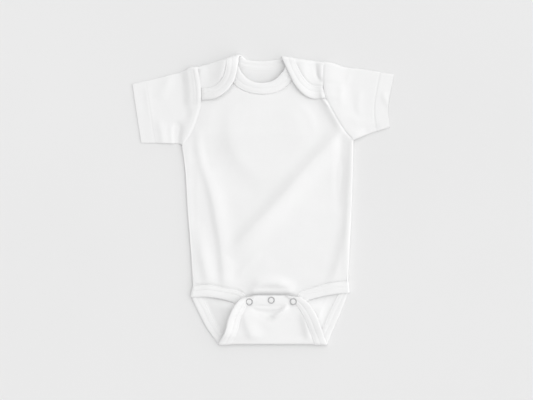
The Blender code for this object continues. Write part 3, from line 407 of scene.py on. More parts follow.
def z_flap(x, y):
    x, y = np.broadcast_arrays(np.asarray(x, float), np.asarray(y, float))
    fade = smooth((y - CROTCH_Y) / 10.0)
    return Z_FLAP(y)[..., 0] + fade * (creases(x, y, FLAP_CREASES) + 0.06 * ripple(x, y, 20.0, 8) - 0.035 * (x - 10.0))


# ------------------------------------------------------------------ meshes
def make(name, verts, faces, mat, uv=None):
    """A mesh object from vertices in mm and lists of faces of 3 or 4 corners, riding on the root."""
    verts = (np.asarray(verts, float) - MIDDLE) * MM
    loops = np.concatenate([f.reshape(-1) for f in faces]).astype(np.int32)
    totals = np.concatenate([np.full(len(f), f.shape[1]) for f in faces]).astype(np.int32)
    tri = np.concatenate([f[:, [0, 1, 2]] for f in faces] + [f[:, [0, 2, 3]] for f in faces if f.shape[1] == 4])
    p = verts[tri]
    if np.einsum("ij,ij->i", p[:, 0], np.cross(p[:, 1], p[:, 2])).sum() < 0:
        faces = [f[:, ::-1] for f in faces]
        loops = np.concatenate([f.reshape(-1) for f in faces]).astype(np.int32)
    mesh = bpy.data.meshes.new(name)
    mesh.vertices.add(len(verts))
    mesh.vertices.foreach_set("co", verts.astype(np.float32).ravel())
    mesh.loops.add(len(loops))
    mesh.loops.foreach_set("vertex_index", loops)
    mesh.polygons.add(len(totals))
    mesh.polygons.foreach_set("loop_start", np.concatenate([[0], np.cumsum(totals)[:-1]]).astype(np.int32))
    if uv is not None:
        layer = mesh.uv_layers.new(name="weave")
        layer.data.foreach_set("uv", (np.asarray(uv, float)[loops] * 0.01).astype(np.float32).ravel())
    mesh.update(calc_edges=True)
    mesh.validate()
    mesh.shade_smooth()
    mesh.materials.append(mat)
    ob = bpy.data.objects.new(name, mesh)
    bpy.context.scene.collection.objects.link(ob)
    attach(ob, "root")
    return ob


def quads_of(nv, nu, keep=None):
    j, i = np.mgrid[0:nv - 1, 0:nu - 1]
    a = j * nu + i
    q = np.stack([a, a + 1, a + nu + 1, a + nu], -1)
    return (q[keep] if keep is not None else q).reshape(-1, 4)


def normals_of(p, q):
    n = np.zeros_like(p)
    f = np.cross(p[q[:, 2]] - p[q[:, 0]], p[q[:, 3]] - p[q[:, 1]])
    for k in range(4):
        np.add.at(n, q[:, k], f)
    return unit(n)


def shell(name, P, wall, mat, uv=None, keep=None, closed=False, rim=3, lift=0.5):
    """A cloth shell round a grid P (rows, columns, 3): two faces and a rounded edge. lift is the share of the wall above P."""
    nv, nu = P.shape[:2]
    q = quads_of(nv, nu, keep)
    if closed:                                   # the last column is the first
        idx = np.arange(nv * nu).reshape(nv, nu)
        idx[:, -1] = idx[:, 0]
        q = idx.reshape(-1)[q]
    used, inv = np.unique(q, return_inverse=True)
    q = inv.reshape(-1, 4)
    p = P.reshape(-1, 3)[used]
    tex = None if uv is None else uv.reshape(-1, 2)[used]
    n = normals_of(p, q)
    if n[:, 2].sum() < 0 and not closed:
        q, n = q[:, ::-1], -n
    e = np.concatenate([q[:, [k, (k + 1) % 4]] for k in range(4)])
    e = e[e[:, 0] != e[:, 1]]
    key, back = e[:, 0] * len(p) + e[:, 1], e[:, 1] * len(p) + e[:, 0]
    edge = e[~np.isin(key, back)]
    out = np.zeros_like(p)
    o = np.cross(p[edge[:, 1]] - p[edge[:, 0]], n[edge[:, 0]] + n[edge[:, 1]])
    np.add.at(out, edge[:, 0], o)
    np.add.at(out, edge[:, 1], o)
    rimv = np.unique(edge)
    out = unit(out[rimv])
    slot_of = np.full(len(p), -1)
    slot_of[rimv] = np.arange(len(rimv))
    wall = np.broadcast_to(np.asarray(wall, float), (nv, nu)).reshape(-1)[used][:, None]
    mid = p + n * wall * (lift - 0.5)
    parts, tex_parts = [mid + n * wall / 2, mid - n * wall / 2], [tex, tex]
    for k in range(1, rim + 1):
        a = math.pi / 2 - k * math.pi / (rim + 1)
        parts.append(mid[rimv] + wall[rimv] / 2 * (n[rimv] * math.sin(a) + out * math.cos(a)))
        tex_parts.append(None if tex is None else tex[rimv])
    m = len(p)
    ring = [lambda v: v] + [lambda v, k=k: 2 * m + k * len(rimv) + slot_of[v] for k in range(rim)] + [lambda v: v + m]
    faces = [q, q[:, ::-1] + m]
    for lo, hi in zip(ring, ring[1:]):
        faces.append(np.stack([lo(edge[:, 1]), lo(edge[:, 0]), hi(edge[:, 0]), hi(edge[:, 1])], -1))
    quad = np.concatenate(faces)
    flat = (quad[:, 0] == quad[:, 1]) | (quad[:, 1] == quad[:, 2]) | (quad[:, 2] == quad[:, 3]) | (quad[:, 3] == quad[:, 0])
    tris = []
    for f in quad[flat]:
        keepers = [v for k, v in enumerate(f) if v != f[k - 1]]
        if len(keepers) == 3:
            tris.append(keepers)
    sets = [quad[~flat]] + ([np.array(tris)] if tris else [])
    return make(name, np.concatenate(parts), sets, mat, None if tex is None else np.concatenate(tex_parts))


# Section of a folded rib band: share of the width, mm added, height. From the seam edge over the top to the
# free fold and back underneath, with the grooves of the two needle lines near the seam.
BAND_SECTION = np.array([
    (0, -0.9, 0.0), (0, -0.86, 0.50), (0, -0.66, 0.84), (0, -0.25, 1.00), (0, 0.3, 1.00), (0, 0.65, 0.90), (0, 0.9, 0.86),
    (0, 1.15, 0.92), (0, 1.6, 1.06), (0, 2.3, 1.14), (0, 3.4, 1.20), (0, 4.6, 1.20), (0, 5.3, 1.16), (0, 5.75, 1.06),
    (0, 6.1, 0.96), (0, 6.4, 0.96), (0, 6.75, 1.07), (0, 7.2, 1.19), (0.6, 0.0, 1.26), (0.70, 0.0, 1.32), (0.80, 0.0, 1.28),
    (1, -1.9, 1.16), (1, -1.3, 1.02), (1, -0.80, 0.82), (1, -0.40, 0.56), (1, -0.12, 0.28), (1, 0.0, 0.0),
    (1, -0.12, -0.28), (1, -0.42, -0.56), (1, -0.85, -0.82), (1, -1.5, -1.02), (0.80, 0.0, -1.12), (0, 7.4, -1.14),
    (0, 6.7, -1.02), (0, 6.25, -0.92), (0, 5.8, -1.02), (0, 5.1, -1.10), (0, 3.4, -1.14), (0, 1.8, -1.08), (0, 1.3, -0.98),
    (0, 0.9, -0.92), (0, 0.5, -0.98), (0, 0.0, -1.00), (0, -0.5, -0.84), (0, -0.8, -0.46)], float)
NEEDLE_LINES = (0.9, 6.25)


def band_frame(seam, free, sign):
    across = free - seam
    width = np.linalg.norm(across, axis=1)
    across = across / width[:, None]
    mid = (free + seam) / 2
    along = unit(np.gradient(mid, axis=0))
    return across, width, unit(np.cross(along, across)) * sign


def band(name, seam, free, mat, sign=1.0, wave=0.12, seed=1, grooves=(), pressed=(0, 0)):
    """A folded rib band between two lines of stations, with its needle lines returned for the stitches."""
    seam, free = np.asarray(seam, float), np.asarray(free, float)
    across, width, up = band_frame(seam, free, sign)
    s = np.concatenate([[0], np.cumsum(np.linalg.norm(np.diff((seam + free) / 2, axis=0), axis=1))])
    a = BAND_SECTION[:, 0] * width[:, None] + BAND_SECTION[:, 1]
    b = np.broadcast_to(BAND_SECTION[:, 2], a.shape).copy()
    r = np.random.RandomState(seed)
    soft = sum(np.sin(s * 2 * math.pi / w + p) for w, p in zip(r.uniform(17, 60, 4), r.uniform(0, 6, 4))) / 4
    b += wave * soft[:, None] * (a / width[:, None]) ** 2
    for place, half in grooves:                  # a seam that crosses the band
        b *= 1 - 0.28 * np.exp(-((s[:, None] - place) / half) ** 2)
    for k, held in enumerate(pressed):           # ends pressed flat in a crossing seam
        if held:
            b *= 1 - held * np.exp(-((s[:, None] - k * s[-1]) / 2.2) ** 2)
    ring = seam[:, None] + across[:, None] * a[..., None] + up[:, None] * b[..., None]
    ring[..., 2] = np.maximum(ring[..., 2], 0.0)
    nv, nk = a.shape
    ring = np.concatenate([ring, ring[:, :1]], 1)
    idx = np.arange(nv * nk).reshape(nv, nk)
    idx = np.concatenate([idx, idx[:, :1]], 1)
    q = idx.reshape(-1)[quads_of(nv, nk + 1)]
    verts = ring[:, :-1].reshape(-1, 3)
    uv = np.stack([np.broadcast_to(s[:, None], a.shape), a], -1).reshape(-1, 2)
    ends, tris = [], []
    for row, way in ((0, 1), (nv - 1, -1)):
        c = verts[row * nk:(row + 1) * nk].mean(0)
        k = len(verts) + len(ends)
        ends.append(c)
        for i in range(nk):
            t = (k, row * nk + (i + 1) % nk, row * nk + i)
            tris.append(t if way > 0 else t[::-1])
    verts = np.concatenate([verts, np.array(ends)])
    uv = np.concatenate([uv, np.zeros((2, 2))])
    ob = make(name, verts, [q, np.array(tris)], mat, uv)
    lines = []
    for n_at in NEEDLE_LINES:
        lines.append((seam + across * n_at + up * (0.85 if n_at < 3 else 0.95), up))
    return ob, lines, s[-1]


def dashes(name, lines, mat, length=2.3, gap=0.55, radius=0.15):
    """Sewing thread: short raised stitches along lines of (points, normals)."""
    verts, quads, tris = [], [], []
    sides, base = 6, 0
    for pts, ups in lines:
        s = np.concatenate([[0], np.cumsum(np.linalg.norm(np.diff(pts, axis=0), axis=1))])
        count = int((s[-1] - gap) // (length + gap))
        for k in range(count):
            a = gap + k * (length + gap)
            t = a + length * np.array([0.0, 0.12, 0.5, 0.88, 1.0])
            p = np.stack([np.interp(t, s, pts[:, c]) for c in range(3)], -1)
            n = unit(np.stack([np.interp(t, s, ups[:, c]) for c in range(3)], -1))
            d = unit(np.gradient(p, axis=0))
            w = np.cross(d, n)
            rad = radius * np.array([0.35, 0.85, 1.0, 0.85, 0.35])
            lift = np.array([-0.14, -0.03, 0.0, -0.03, -0.14])
            ang = np.arange(sides) * 2 * math.pi / sides
            c = p + n * lift[:, None]
            ring = c[:, None] + rad[:, None, None] * (np.cos(ang)[None, :, None] * w[:, None] + np.sin(ang)[None, :, None] * n[:, None])
            verts.append(ring.reshape(-1, 3))
            verts.append(c[[0, -1]])
            for j in range(4):
                for i in range(sides):
                    quads.append((base + j * sides + i, base + j * sides + (i + 1) % sides,
                                  base + (j + 1) * sides + (i + 1) % sides, base + (j + 1) * sides + i))
            e0, e1 = base + 5 * sides, base + 5 * sides + 1
            for i in range(sides):
                tris.append((e0, base + (i + 1) % sides, base + i))
                tris.append((e1, base + 4 * sides + i, base + 4 * sides + (i + 1) % sides))
            base += 5 * sides + 2
    v = np.concatenate(verts)
    return make(name, v, [np.array(quads), np.array(tris)], mat, v[:, :2])


# ------------------------------------------------------------------ materials
def node_material(name):
    m = bpy.data.materials.new(name)
    m.use_nodes = True
    nt = m.node_tree
    nt.nodes.clear()
    out = nt.nodes.new("ShaderNodeOutputMaterial")
    b = nt.nodes.new("ShaderNodeBsdfPrincipled")
    nt.links.new(b.outputs[0], out.inputs["Surface"])

    def add(kind, **values):
        n = nt.nodes.new(kind)
        for k, v in values.items():
            if k in n.inputs:
                n.inputs[k].default_value = v
            else:
                setattr(n, k, v)
        return n

    def join(a, b_):
        nt.links.new(a, b_)

    def calc(op, a, b_=None):
        n = nt.nodes.new("ShaderNodeMath")
        n.operation = op
        for k, v in enumerate((a, b_)):
            if v is None:
                continue
            if isinstance(v, (int, float)):
                n.inputs[k].default_value = v
            else:
                join(v, n.inputs[k])
        return n.outputs[0]
    return m, b, add, join, calc


def cloth_material(name, light, dark, knit):
    """White cotton: faint tone changes, a soft sheen and the knit as bump. knit is jersey or rib."""
    m, b, add, join, calc = node_material(name)
    b.inputs["Roughness"].default_value = 0.92
    b.inputs["Specular IOR Level"].default_value = 0.25
    b.inputs["Sheen Weight"].default_value = 0.12
    b.inputs["Sheen Roughness"].default_value = 0.55
    co = add("ShaderNodeTexCoord")
    big = add("ShaderNodeTexNoise", Scale=22.0, Detail=3.0, Roughness=0.55)
    fine = add("ShaderNodeTexNoise", Scale=900.0, Detail=2.0, Roughness=0.6)
    for n in (big, fine):
        join(co.outputs["Object"], n.inputs["Vector"])
    tone = calc("ADD", calc("MULTIPLY", big.outputs["Fac"], 0.7), calc("MULTIPLY", fine.outputs["Fac"], 0.3))
    ramp = add("ShaderNodeValToRGB")
    ramp.color_ramp.elements[0].position, ramp.color_ramp.elements[0].color = 0.30, (*dark, 1)
    ramp.color_ramp.elements[1].position, ramp.color_ramp.elements[1].color = 0.70, (*light, 1)
    join(tone, ramp.inputs["Fac"])
    join(ramp.outputs["Color"], b.inputs["Base Color"])
    uv = add("ShaderNodeUVMap", uv_map="weave")
    sep = add("ShaderNodeSeparateXYZ")
    join(uv.outputs["UV"], sep.inputs[0])
    u, v = calc("MULTIPLY", sep.outputs[0], 100.0), calc("MULTIPLY", sep.outputs[1], 100.0)   # mm
    if knit == "rib":
        # 1 by 1 rib: rounded wales across the band, with fine courses
        wale = calc("ABSOLUTE", calc("SINE", calc("MULTIPLY", u, math.pi / 1.5)))
        course = calc("ABSOLUTE", calc("SINE", calc("MULTIPLY", v, math.pi / 0.8)))
        height = calc("ADD", calc("POWER", wale, 0.6), calc("MULTIPLY", course, 0.18))
        depth = 0.00022
    else:
        # jersey: columns of small V stitches
        lean = calc("ABSOLUTE", calc("SINE", calc("MULTIPLY", u, math.pi / 0.95)))
        row = calc("SINE", calc("MULTIPLY", calc("ADD", v, calc("MULTIPLY", lean, 0.3)), 2 * math.pi / 0.75))
        height = calc("ADD", calc("MULTIPLY", lean, 0.7), calc("MULTIPLY", row, 0.3))
        depth = 0.0001
    height = calc("ADD", height, calc("MULTIPLY", fine.outputs["Fac"], 0.8))
    bump = add("ShaderNodeBump", Strength=0.55, Distance=depth)
    join(height, bump.inputs["Height"])
    join(bump.outputs["Normal"], b.inputs["Normal"])
    rough = add("ShaderNodeMapRange")
    for k, val in (("From Min", 0.3), ("From Max", 0.7), ("To Min", 0.86), ("To Max", 0.97)):
        rough.inputs[k].default_value = val
    join(fine.outputs["Fac"], rough.inputs["Value"])
    join(rough.outputs[0], b.inputs["Roughness"])
    return m


def metal_material():
    m, b, add, join, calc = node_material("ring_metal")
    b.inputs["Metallic"].default_value = 1.0
    co = add("ShaderNodeTexCoord")
    n = add("ShaderNodeTexNoise", Scale=1500.0, Detail=3.0)
    join(co.outputs["Object"], n.inputs["Vector"])
    ramp = add("ShaderNodeValToRGB")
    ramp.color_ramp.elements[0].position, ramp.color_ramp.elements[0].color = 0.35, (0.46, 0.46, 0.465, 1)
    ramp.color_ramp.elements[1].position, ramp.color_ramp.elements[1].color = 0.65, (0.56, 0.56, 0.565, 1)
    join(n.outputs["Fac"], ramp.inputs["Fac"])
    join(ramp.outputs["Color"], b.inputs["Base Color"])
    r = add("ShaderNodeMapRange")
    for k, val in (("To Min", 0.22), ("To Max", 0.36)):
        r.inputs[k].default_value = val
    join(n.outputs["Fac"], r.inputs["Value"])
    join(r.outputs[0], b.inputs["Roughness"])
    bump = add("ShaderNodeBump", Strength=0.15, Distance=0.00003)
    join(n.outputs["Fac"], bump.inputs["Height"])
    join(bump.outputs["Normal"], b.inputs["Normal"])
    return m


def floor_material():
    m, b, add, join, calc = node_material("pale_floor")
    b.inputs["Roughness"].default_value = 0.8
    b.inputs["Specular IOR Level"].default_value = 0.2
    co = add("ShaderNodeTexCoord")
    n = add("ShaderNodeTexNoise", Scale=3.0, Detail=4.0, Roughness=0.5)
    join(co.outputs["Object"], n.inputs["Vector"])
    ramp = add("ShaderNodeValToRGB")
    ramp.color_ramp.elements[0].position, ramp.color_ramp.elements[0].color = 0.3, (*FLOOR_DARK, 1)
    ramp.color_ramp.elements[1].position, ramp.color_ramp.elements[1].color = 0.7, (*FLOOR_LIGHT, 1)
    join(n.outputs["Fac"], ramp.inputs["Fac"])
    join(ramp.outputs["Color"], b.inputs["Base Color"])
    return m


FLOOR_DARK, FLOOR_LIGHT = (0.775,) * 3, (0.790,) * 3
M_JERSEY = cloth_material("cotton_jersey", (0.858, 0.858, 0.858), (0.835, 0.835, 0.835), "jersey")
M_RIB = cloth_material("cotton_rib", (0.873, 0.873, 0.873), (0.848, 0.848, 0.848), "rib")
M_THREAD = cloth_material("thread", (0.87, 0.87, 0.87), (0.84, 0.84, 0.84), "jersey")
M_METAL = metal_material()


def tuck(d):
    """How far cloth is drawn down d mm inside the seam of a band."""
    return 1.15 * np.exp(-((d - 1.55) / 1.0) ** 2)


# ------------------------------------------------------------------ front panel
def roll_columns(edge, sign, z_top, upper):
    """Columns of the rolled side edge from the turned-in seam to the flat: (x, z) arrays per angle."""
    r = (z_top - Z_BACK) / 2
    cols = [(edge + sign * (1.5 + 0 * r), Z_BACK + r + (0.12 if upper else -0.12)),
            (edge + sign * 0.7, Z_BACK + r + (0.22 if upper else -0.22))]
    for ang in (82, 70, 58, 46, 34, 22, 10):
        a = math.radians(ang)
        x = edge + sign * (r - r * math.sin(a))
        z = z_top - r + r * math.cos(a) if upper else Z_BACK + r - r * math.cos(a)
        cols.append((x, z))
    return cols


def build_front():
    leg_l, leg_r = Curve([(r[1], r[2]) for r in FRONT_LEG]), Curve([(r[3], r[4]) for r in FRONT_LEG])
    neck = Curve([(r[1], r[2]) for r in FRONT_NECK])
    c, e = 0.20, 0.40
    u = np.linspace(0, 1, 141)
    ext = 2.6                                           # the panel runs into the bands

    def bottom():
        t = np.clip((u - e) / (1 - 2 * e), 0, 1)[:, None]
        p, q = leg_l.off(1.0, -ext * 0.2), leg_r.off(1.0, ext * 0.2)
        out = mix(p, q, t)
        m = u <= e + 1e-9
        out[m] = leg_l.off(u[m] / e, np.full(m.sum(), -ext))
        m = u >= 1 - e - 1e-9
        out[m] = leg_r.off((1 - u[m]) / e, np.full(m.sum(), ext))
        return out

    def top():
        out = np.zeros((len(u), 2))
        m = u < c - 1e-9
        a, p = np.array(FOLD["L"][0]) + [SEAM, 0], neck.off(0.0, ext)
        out[m] = mix(a, p, (u[m] / c)[:, None])
        m = u > 1 - c + 1e-9
        a, p = np.array(FOLD["R"][0]) - [SEAM, 0], neck.off(1.0, ext)
        out[m] = mix(a, p, ((1 - u[m]) / c)[:, None])
        m = (u >= c - 1e-9) & (u <= 1 - c + 1e-9)
        out[m] = neck.off((u[m] - c) / (1 - 2 * c), np.full(m.sum(), ext))
        return out

    vs, va = np.linspace(0, 1, 104), np.linspace(0, 1, 66)[1:]
    L = np.concatenate([side_l(vs), arm_l.off(va, np.full(len(va), 0.9))])
    R = np.concatenate([side_r(vs), arm_r.off(va, np.full(len(va), -0.9))])
    g = np.concatenate([vs * 0.63, 0.63 + 0.37 * va])[:, None, None]
    B, T = bottom()[None], top()[None]
    base = mix(L[:, None], R[:, None], u[None, :, None])
    b0, t0 = mix(L[0], R[0], u[:, None])[None], mix(L[-1], R[-1], u[:, None])[None]
    w0, w1 = clamp(1 - g / 0.34) ** 2, clamp((g - 0.60) / 0.40) ** 1.6
    P = base + (B - b0) * w0 + (T - t0) * w1
    n_side = len(vs)
    zl, zr = z_front(L[:n_side, 0] + 2, L[:n_side, 1]), z_front(R[:n_side, 0] - 2, R[:n_side, 1])
    rl, rr = (zl - Z_BACK)[:, None] / 2, (zr - Z_BACK)[:, None] / 2
    x = P[:n_side, :, 0]
    P[:n_side, :, 0] = (x + rl * smooth(1 - (x - L[:n_side, :1]) / 30) - rr * smooth(1 - (R[:n_side, :1] - x) / 30))
    Z = z_front(P[..., 0], P[..., 1])
    # the armhole edge dips into its seam, and the cloth is drawn down along the bands
    d = np.minimum(np.abs(near(P[..., 0], P[..., 1], arm_line_l)[0]), np.abs(near(P[..., 0], P[..., 1], arm_line_r)[0]))
    Z -= mix(0.35, 0.9, smooth(P[..., 0] / 20.0)) * np.exp(-(d / 1.6) ** 2) * smooth((P[..., 1] - 70.0) / 8.0)
    d = np.minimum(near(P[..., 0], P[..., 1], leg_line_l)[0], -near(P[..., 0], P[..., 1], leg_line_r)[0])
    # the hidden shoulder end sinks with the pucker of the right lap over it
    Z -= 2.0 * np.exp(-((P[..., 0] - 71.0) / 5.5) ** 4 - ((P[..., 1] - 163.5) / 14.0) ** 4)
    under_flap = smooth((P[..., 0] + 30.0) / 7.0) * smooth((52.0 - P[..., 0]) / 7.0)
    Z -= (1.5 - 1.3 * under_flap) * np.exp(-((d - 0.9) / 0.9) ** 2) + tuck(-near(P[..., 0], P[..., 1], neck_line)[0])
    P = np.concatenate([P, Z[..., None]], -1)
    ends = smooth(np.arange(n_side) / 2.0)
    left, right = roll_columns(L[:n_side, 0], 1, zl, True), roll_columns(R[:n_side, 0], -1, zr, True)
    k = len(left)
    full = np.zeros((P.shape[0], P.shape[1] + 2 * k, 3))
    full[:, k:-k] = P
    for i in range(k):
        full[:, i], full[:, -1 - i] = P[:, 0], P[:, -1]
        full[:n_side, i] = np.stack([left[i][0], P[:n_side, 0, 1], left[i][1]], -1)
        full[:n_side, -1 - i] = np.stack([right[i][0], P[:n_side, -1, 1], right[i][1]], -1)
    nv, nu = full.shape[:2]
    j, i = np.mgrid[0:nv - 1, 0:nu - 1]
    keep = ~((j >= n_side - 1) & ((i < k) | (i >= nu - 1 - k)))
    ob = shell("front_cloth", full, JERSEY, M_JERSEY, uv=full[..., :2], keep=keep)
    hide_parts("front_panel")
    return ob


# ------------------------------------------------------------------ back panel with laps and crotch flap
def flap_hem(y):
    """Extra height of the turned hem along the flap's top edge, and its stitch groove."""
    d = -124.4 - y                                     # distance below the flap's edge
    return 0.35 * smooth((14.5 - d) / 2.0) - 0.4 * np.exp(-((d - 13.6) / 0.8) ** 2) - 1.5 * clamp(1.0 - d / 9.0) ** 2


def back_rise(x, y, d):
    """The back panel rises inward from its leg bands toward the flap lying over it; d is the distance inside the seam."""
    m = smooth((-127.0 - y) / 14.0) * smooth((y + 184.0) / 16.0)
    return m * (4.0 * smooth((d - 1.0) / 26.0) + np.maximum(0, creases(x, y, BACK_CREASES)) * smooth(d / 8.0))


def build_back():
    c0, c1 = 0.285, 0.715
    u = np.concatenate([np.linspace(0, c0, 33), np.linspace(c0, c1, 55)[1:], np.linspace(c1, 1, 33)[1:]])
    n = len(u)
    cl, cr = 33, n - 33                                # the shoulder columns: u[:cl] and u[cr:]
    leg_b, leg_f = Graph([(r[1], r[3], r[4]) for r in LEG_BACK]), Graph([(r[1], r[3], r[4]) for r in LEG_FLAP])
    ext = 2.6
    rows = []

    def edge_w(i_share):
        return np.where((i_share < 0.03) | (i_share > 0.97), 1.0, np.where((i_share < 0.10) | (i_share > 0.90), 0.4, 0.0))
    ew = edge_w(u)
    for y in np.concatenate([np.linspace(-124.9, -140, 14), np.linspace(-140, CROTCH_Y, 30)[1:-1]]):
        xl, xr = leg_f(y)
        x = mix(xl - ext, xr + ext, u)
        z = z_flap(x, y) + flap_hem(y) - tuck(np.minimum(x - xl, xr - x)) * 0.25 * smooth((-127.0 - y) / 8.0)
        rows.append(np.stack([x, np.full(n, y), z], -1))
    for ang in np.linspace(180, 0, 13):
        a, t = math.radians(ang), (180.0 - ang) / 180.0
        xl, xr = mix(leg_f(CROTCH_Y), leg_b(CROTCH_Y), t)
        x = mix(xl - ext, xr + ext, u)
        z = mix(Z_BACK_BAND, z_flap(x, CROTCH_Y), (1 - math.cos(a)) / 2)
        rows.append(np.stack([x, np.full(n, CROTCH_Y - R_CROTCH * math.sin(a)), z], -1))
    for y in np.linspace(CROTCH_Y, -143.6, 26)[1:-1]:
        xl, xr = leg_b(y)
        x = mix(xl - ext, xr + ext, u)
        lift = np.maximum(ew, smooth((-170.0 - y) / 12.0))
        z = mix(Z_BACK, Z_BACK_BAND, lift) + back_rise(x, np.full(n, y), np.minimum(x - xl, xr - x))
        rows.append(np.stack([x, np.full(n, y), z], -1))
    hip_l, hip_r = Curve([(r[1], r[2]) for r in reversed(HIP_SEAM)]), Curve([(r[3], r[4]) for r in reversed(HIP_SEAM)])
    for t in np.linspace(0, 0.96, 16):
        p, q = hip_l.off(t, ext), hip_r.off(t, -ext)
        xy = mix(p, q, u[:, None])
        span = np.linalg.norm(q - p)
        z = mix(Z_BACK, Z_BACK_BAND, ew * (1 - smooth((t - 0.8) / 0.2))) + back_rise(xy[:, 0], xy[:, 1], np.minimum(u, 1 - u) * span - ext)
        rows.append(np.concatenate([xy, z[:, None]], -1))
    k = 9
    rows = [np.concatenate([np.repeat(r[:1], k, 0), r, np.repeat(r[-1:], k, 0)]) for r in rows]
    first_side = len(rows)
    for v in np.linspace(0, 1, 56):
        (lx, ly), (rx, ry) = side_l(v), side_r(v)
        zl, zr = float(z_front(lx + 2, ly)), float(z_front(rx - 2, ry))
        rl, rr = (zl - Z_BACK) / 2, (zr - Z_BACK) / 2
        mid = np.stack([mix(lx + rl, rx - rr, u), mix(ly, ry, u), np.full(n, Z_BACK)], -1)
        left = [(x, ly, z) for x, z in roll_columns(lx, 1, zl, False)]
        right = [(x, ry, z) for x, z in roll_columns(rx, -1, zr, False)][::-1]
        rows.append(np.concatenate([np.array(left), mid, np.array(right)]))
    last_side = len(rows) - 1
    neck = Curve([(r[1], r[2]) for r in BACK_NECK])
    fl, fr = np.array(FOLD["L"][0]), np.array(FOLD["R"][0])
    T = np.zeros((n, 2))
    m = u <= c0 + 1e-9
    T[m] = mix(fl + [SEAM, 0], neck.off(0.0, ext), (u[m] / c0)[:, None])
    m = u >= c1 - 1e-9
    T[m] = mix(fr - [SEAM, 0], neck.off(1.0, ext), ((1 - u[m]) / (1 - c1))[:, None])
    m = (u > c0 + 1e-9) & (u < c1 - 1e-9)
    T[m] = neck.off((u[m] - c0) / (c1 - c0), np.full(m.sum(), ext))
    A0 = mix(arm_l.off(1.0, 0.5), arm_r.off(1.0, -0.5), u[:, None])
    for v in np.linspace(0, 1, 44)[1:]:
        p, q = arm_l.off(v, 0.5), arm_r.off(v, -0.5)
        w = clamp((v - 0.35) / 0.65) ** 1.5
        xy = mix(p, q, u[:, None]) + (T - A0) * w
        z = np.where((u >= c0) & (u <= c1), mix(Z_BACK, Z_BACK_BAND + 0.5, smooth((v - 0.84) / 0.14)), Z_BACK)
        r = np.concatenate([xy, z[:, None]], -1)
        rows.append(np.concatenate([np.repeat(r[:1], k, 0), r, np.repeat(r[-1:], k, 0)]))
    top_row = len(rows) - 1
    base = rows[top_row][k:-k]
    extra = [(ang, None) for ang in np.linspace(0, 180, 11)[1:]] + [(None, v) for v in np.linspace(0, 1, 30)[1:]]
    for ang, v in extra:
        row = base.copy()
        for side in "LR":
            sgn = 1.0 if side == "L" else -1.0
            cols = np.arange(cl) if side == "L" else np.arange(n - 1, cr - 1, -1)
            t = np.linspace(0, 1, len(cols))[:, None]
            _, qn = fold_frame(side)
            seam = Curve([(r[1], r[2]) for r in LAP[side]])
            b0, back = base[cols[0], :2], base[cols[-1], :2]
            lap = seam.off(0.0, sgn * ext)
            if ang is not None:
                a = math.radians(ang)
                xy0 = mix(b0, mix(back, lap, ang / 180.0), t)
                xy = xy0 + R_SHOULDER * math.sin(a) * qn
                lo = mix(Z_BACK, Z_BACK_BAND, smooth((t[:, 0] - 0.7) / 0.3))
                z = mix(lo, z_lap(xy0[:, 0], xy0[:, 1]), (1 - math.cos(a)) / 2)
            else:
                xy0 = mix(b0, lap, t)
                st = mix(1.0, 0.14, t[:, 0] ** 1.05)
                s = seam.off(st, np.full(len(st), sgn * ext))
                s[0, 0] -= sgn * 0.4
                xy = mix(xy0, s, v)
                z = z_lap(xy[:, 0], xy[:, 1])
                d = np.abs(near(xy[:, 0], xy[:, 1], arm_line_l if side == "L" else arm_line_r)[0])
                z = z - (mix(0.45, 1.4, smooth((xy[:, 1] - 163.0) / 6.0)) if side == "L" else 0.9) * np.exp(-(d / 1.6) ** 2)
                d = np.abs(near(xy[:, 0], xy[:, 1], seam(np.linspace(0, 1, 40)))[0])
                inside = smooth(v * 3.0)
                z = z - 0.8 * tuck(d) * inside
            row[cols] = np.concatenate([xy, z[:, None]], -1)
        rows.append(np.concatenate([np.repeat(row[:1], k, 0), row, np.repeat(row[-1:], k, 0)]))
    P = np.array(rows)
    nv, nu = P.shape[:2]
    j, i = np.mgrid[0:nv - 1, 0:nu - 1]
    keep = ~(((i < k) | (i >= nu - 1 - k)) & ((j < first_side) | (j >= last_side)))
    keep &= ~((j >= top_row) & (i >= k + cl - 1) & (i < k + cr))
    run = np.concatenate([[0], np.cumsum(np.linalg.norm(np.diff(P[:, k + n // 4], axis=0), axis=1))])
    uv = np.stack([P[..., 0], np.broadcast_to(run[:, None], P.shape[:2])], -1)
    ob = shell("back_cloth", P, JERSEY, M_JERSEY, uv=uv, keep=keep)
    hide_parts("back_panel")
    return ob


